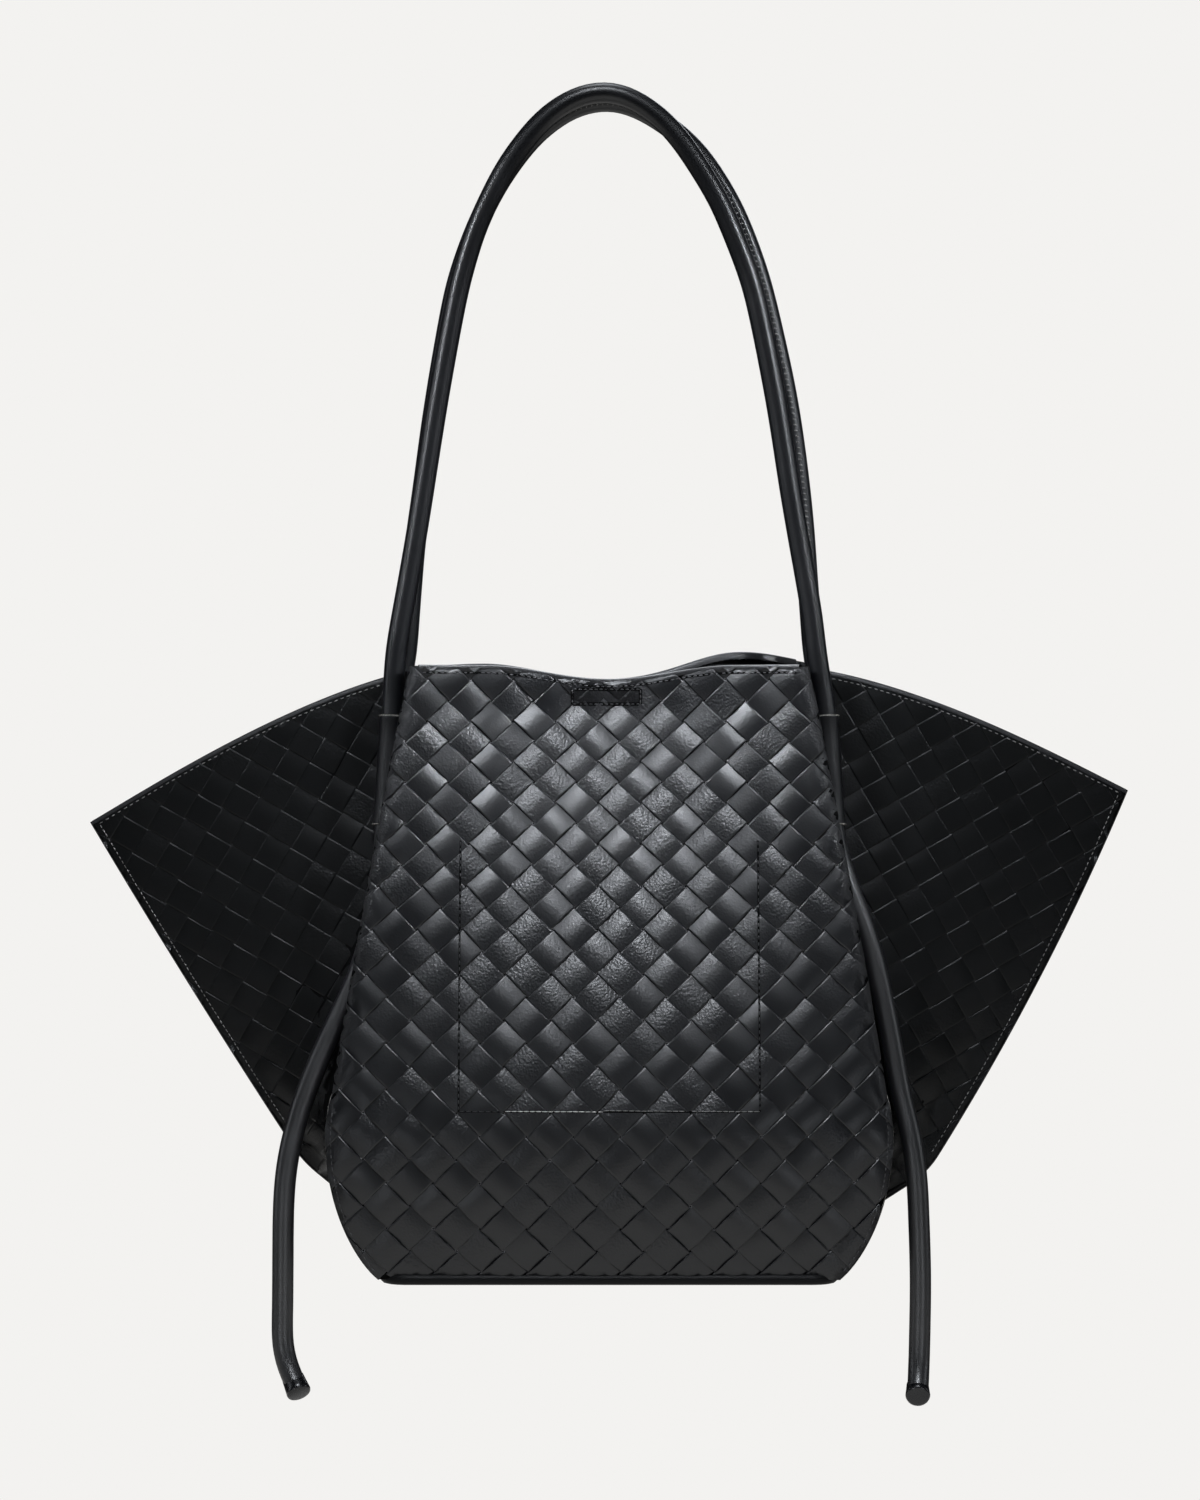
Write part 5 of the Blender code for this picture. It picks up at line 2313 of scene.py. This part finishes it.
@dataclass
class Inside:
    """What the mouth shows: facings, pocket, magnets and the stiff base."""

    shape: BagShape
    pocket_half_width: float = 0.076
    pocket_bottom: float = 0.089
    pocket_top: float = 0.226
    pocket_gap: float = 0.0009
    pocket_slack: float = 0.0020
    pocket_pucker: float = 0.00025
    hem: float = 0.0004
    hem_from: float = 0.93
    cloth_thickness: float = 0.0005
    base_thickness: float = 0.0021
    base_corner: float = 0.006
    base_rounding: float = 0.0009
    roll_corner: float = 0.010
    roll_reach: Pair = (0.0036, 0.0004)
    roll_levels: Pair = (0.0026, 0.0031)

    def _refinish(self, node: str, finish: Finish) -> None:
        """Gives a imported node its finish.

        Args:
            node: The node's name.
            finish: The finish.
        """
        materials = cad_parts[node].data.materials
        materials.clear()
        materials.append(finish.material())

    def facing(self, side: Side) -> None:
        """The band inside the rim; the magnet gets its steel finish.

        Args:
            side: Which panel it is on.
        """
        piece = Piece(f"{side.word}_facing_leather", PLAIN)
        piece.solid_copy(f"{side.word}_facing", 0, 0.5)
        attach(piece.finish("leather_trim", [f"{side.word}_facing"]), side.word)
        self._refinish(f"{side.word}_magnet", MAGNET_STEEL)

    def pocket(self) -> None:
        """The cotton slip pocket, slack at its mouth, with a turned hem."""
        piece = Piece("inner_pocket_cloth", POCKET_CLOTH)
        half, low, high = self.pocket_half_width, self.pocket_bottom, self.pocket_top

        def place(share: float, rise: float) -> Vector:
            """A point of the pocket's cloth.

            Args:
                share: How far across, from -1 to 1.
                rise: How far up, from 0 to 1.

            Returns:
                The point.
            """
            height = mix(low, high, rise)
            out = self.shape.cloth_normal(Side.FRONT, share * half, height)
            slack = self.pocket_slack * rise * (1 - share * share)
            pucker = self.pocket_pucker * math.sin(share * 40) * (1 - share * share) * rise
            hem = self.hem if rise > self.hem_from else 0.0
            inwards = self.shape.panel_thickness + self.pocket_gap + slack + pucker + hem
            return self.shape.cloth_point(Side.FRONT, share * half, height) - out * inwards

        piece.patch(spaced(-1.0, 1.0, 32), spaced(0.0, 1.0, 24), place, flip=True)
        made = piece.finish("pocket_lining", ["inner_pocket"])
        wall = made.modifiers.new("wall", "SOLIDIFY")
        wall.thickness = self.cloth_thickness
        wall.offset = -1
        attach(made, "front")

    def base(self) -> None:
        """The leather base with its rolled edge, and the board on it. The roll is coloured darker than the
        leather, as painted shade of the gap above it.
        """
        piece = Piece("base_leather", PLAIN)
        size = (self.shape.base_length, self.shape.base_depth, self.base_thickness)
        slab = piece.bench
        bmesh.ops.create_cube(slab, size=1)
        bmesh.ops.scale(slab, vec=size, verts=slab.verts)
        upright = [edge for edge in slab.edges if edge.verts[0].co.z * edge.verts[1].co.z < 0]
        bmesh.ops.bevel(
            slab, geom=upright, offset=self.base_corner, affect="EDGES", segments=6, profile=0.5,
            material=-1,
        )
        rims = [edge for edge in slab.edges if edge.verts[0].co.z * edge.verts[1].co.z > 0]
        bmesh.ops.bevel(
            slab, geom=rims, offset=self.base_rounding, affect="EDGES", segments=3, profile=0.5,
            material=-1,
        )
        bmesh.ops.translate(slab, vec=(0, 0, self.shape.level(size[2] / 2)), verts=slab.verts)
        roll = Piece("base_roll_leather", SHADED_ROLL)
        corner = self.roll_corner
        reach = (self.shape.base_length / 2 - corner, self.shape.base_depth / 2 - corner)

        def rolled(share: float, turn: float) -> Vector:
            """A point of the roll round the base.

            Args:
                share: How far round the base, from 0 to 1.
                turn: How far round the roll, from 0 to 1.

            Returns:
                The point.
            """
            spot, out = rounded_rectangle(reach, corner, share)
            angle = turn * 2 * math.pi
            swing, start = self.roll_reach
            spot = spot + out * (swing * math.cos(angle) + start)
            middle, rise = self.roll_levels
            return Vector((spot.x, spot.y, self.shape.level(middle + rise * math.sin(angle))))

        roll.patch(spaced(0.0, 1.0, 160), spaced(0.0, 1.0, 12), rolled, ROLLED_TONE)
        bmesh.ops.remove_doubles(roll.bench, verts=roll.bench.verts, dist=MERGE)
        bmesh.ops.recalc_face_normals(roll.bench, faces=roll.bench.faces)
        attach(roll.finish("leather_body"), "bag")
        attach(piece.finish("leather_body", ["base_panel"]), "bag")
        self._refinish("base_board", BOARD)


@dataclass(frozen=True)
class PaleFloor(Finish):
    """A matt floor that gives way to the backdrop's own glow away from the bag."""

    colour: Colour
    glow: Colour
    roughness: float = 0.9
    fade: Pair = (0.45, 1.2)
    least_glow: float = 0.5

    def dress(self, graph: Graph) -> None:
        """Sets the material's nodes.

        Args:
            graph: The material's nodes.
        """
        graph.feed("Base Color", (*self.colour, 1))
        graph.feed("Roughness", self.roughness)
        settings = {"operation": "MULTIPLY"}
        level = graph.node("ShaderNodeVectorMath", settings, {0: graph.place(), 1: (1, 1, 0)})
        settings = {"operation": "LENGTH"}
        away = graph.node("ShaderNodeVectorMath", settings, {0: level}, output="Value")
        sockets = {"Color": (*self.glow, 1), "Strength": 1.0}
        glow = graph.node("ShaderNodeEmission", inputs=sockets)
        share = away.between(*self.fade) * (1 - self.least_glow) + self.least_glow
        graph.blend_shaders(share, graph.starting_shader(), glow)


@dataclass(frozen=True)
class SoftBox:
    """A rectangular lamp whose honeycomb grid lets through an angle in degrees."""

    name: str
    place: Point
    aim: Point
    size: Pair
    watts: float
    grid: float

    def hang(self, colour: Colour) -> None:
        """Hangs it in the studio.

        Args:
            colour: Its light's colour.
        """
        data = bpy.data.lights.new(self.name, "AREA")
        data.shape = "RECTANGLE"
        data.size, data.size_y = self.size
        data.energy = self.watts
        data.spread = math.radians(self.grid)
        data.color = colour
        made = bpy.data.objects.new(self.name, data)
        made.location = self.place
        made.rotation_mode = "QUATERNION"
        made.rotation_quaternion = (Vector(self.aim) - Vector(self.place)).to_track_quat("-Z", "Y")
        bpy.context.scene.collection.objects.link(made)


CENTRE = (0.0, 0.0, -0.42)
SOFT_BOXES = (
    SoftBox("front_box", (-0.06, -1.50, 1.35), (0.0, 0.0, -0.36), (0.60, 0.50), 0.94, 22),
    SoftBox("middle_box", (-0.04, -1.72, 0.94), (0.0, 0.0, -0.335), (0.12, 0.30), 0.044, 8),
    SoftBox("right_front_box", (1.45, -1.10, 0.60), (-0.10, 0.0, -0.26), (0.28, 0.22), 0.37, 14),
    SoftBox("left_front_box", (-1.45, -1.10, 0.60), (0.10, 0.0, -0.26), (0.28, 0.22), 0.32, 14),
    SoftBox("left_low_box", (-0.80, -1.70, -0.70), (0.0, 0.0, -0.82), (0.50, 0.35), 0.12, 28),
    SoftBox("right_low_box", (0.80, -1.70, -0.70), (0.0, 0.0, -0.82), (0.50, 0.35), 0.12, 28),
    SoftBox("floor_box", (0.0, -1.0, 0.9), (0.0, -0.7, -0.95), (0.80, 0.50), 4.0, 50),
    SoftBox("left_box", (-1.9, -0.2, 0.1), CENTRE, (0.30, 1.6), 0.5, 60),
    SoftBox("right_box", (1.9, -0.2, 0.1), CENTRE, (0.30, 1.6), 0.5, 60),
    SoftBox("top_box", (0.0, 0.3, 1.5), (0.0, 0.0, -0.05), (1.2, 0.6), 1.1, 40),
    SoftBox("back_box", (0.3, 2.3, 0.8), CENTRE, (1.6, 1.2), 2.7, 60),
)


@dataclass
class Studio:
    """The camera, the soft lights and the pale surroundings."""

    middle: Point = (-0.0047, -2.5, -0.3347)
    lens: float = 115.38
    backdrop: Colour = (0.8963, 0.8880, 0.8713)
    floor_z: float = -0.95
    lamp_colour: Colour = (0.90, 0.94, 1.0)
    floor_colour: Colour = (0.58, 0.565, 0.54)
    floor_radius: float = 1.35
    dim_strength: float = 0.012

    def camera(self) -> None:
        """A level camera straight in front of the bag."""
        data = bpy.data.cameras.new("camera")
        data.lens = self.lens
        data.sensor_width = 36.0
        made = bpy.data.objects.new("camera", data)
        made.location = self.middle
        made.rotation_euler = (math.pi / 2, 0, 0)
        bpy.context.scene.collection.objects.link(made)
        bpy.context.scene.camera = made

    def lamps(self) -> None:
        """The soft boxes: small gridded ones in front, broad weak ones all round."""
        for box in SOFT_BOXES:
            box.hang(self.lamp_colour)

    def surroundings(self) -> None:
        """The pale world and the pale floor that fades into it."""
        world = bpy.data.worlds.new("studio")
        bpy.context.scene.world = world
        self._light_world(Graph(world, "Background", "World Output"))
        plane = bmesh.new()
        bmesh.ops.create_circle(plane, cap_ends=True, segments=64, radius=self.floor_radius)
        bmesh.ops.translate(plane, vec=(0, 0, self.floor_z), verts=plane.verts)
        data = bpy.data.meshes.new("floor")
        plane.to_mesh(data)
        plane.free()
        floor = bpy.data.objects.new("floor", data)
        bpy.context.scene.collection.objects.link(floor)
        data.materials.append(PaleFloor("pale_floor", self.floor_colour, self.backdrop).material())

    def _light_world(self, graph: Graph) -> None:
        """Shows the world pale to the camera, and dim to the bag's glossy leather.

        Args:
            graph: The world's nodes.
        """
        camera = graph.node("ShaderNodeLightPath", output="Is Camera Ray")
        through = graph.node("ShaderNodeLightPath", output="Is Transmission Ray")
        shown = graph.node("ShaderNodeMath", {"operation": "MAXIMUM"}, {0: camera, 1: through})
        pale = graph.node("ShaderNodeBackground", inputs={"Color": (*self.backdrop, 1)})
        graph.feed("Color", (*self.backdrop, 1))
        graph.feed("Strength", self.dim_strength)
        graph.blend_shaders(shown, graph.starting_shader(), pale)


def main() -> None:
    """Builds every piece in order."""
    logging.basicConfig(level=logging.INFO, format="%(name)s %(message)s")
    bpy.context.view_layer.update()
    studio = Studio()
    studio.camera()
    studio.lamps()
    studio.surroundings()
    shape = BagShape()
    cords = Cords()
    for hand in Hand:
        cords.tail(hand)
    for side in Side:
        cords.strap(side)
        panel = Panel(shape, side)
        panel.build()
        if side is Side.FRONT:
            seams = FrontSeams(panel)
            seams.pocket_seam()
            seams.magnet_seam()
        for hand in Hand:
            cords.sleeve(side, hand)
            wing = Wing(shape, hand, side)
            wing.cloth()
            wing.stitches()
            wing.top_edge()
    for hand in Hand:
        WingEdge(shape, hand).build()
    inside = Inside(shape)
    for side in Side:
        inside.facing(side)
    inside.pocket()
    inside.base()
    bpy.context.scene.view_settings.view_transform = "Standard"


if __name__ == "__main__":
    main()
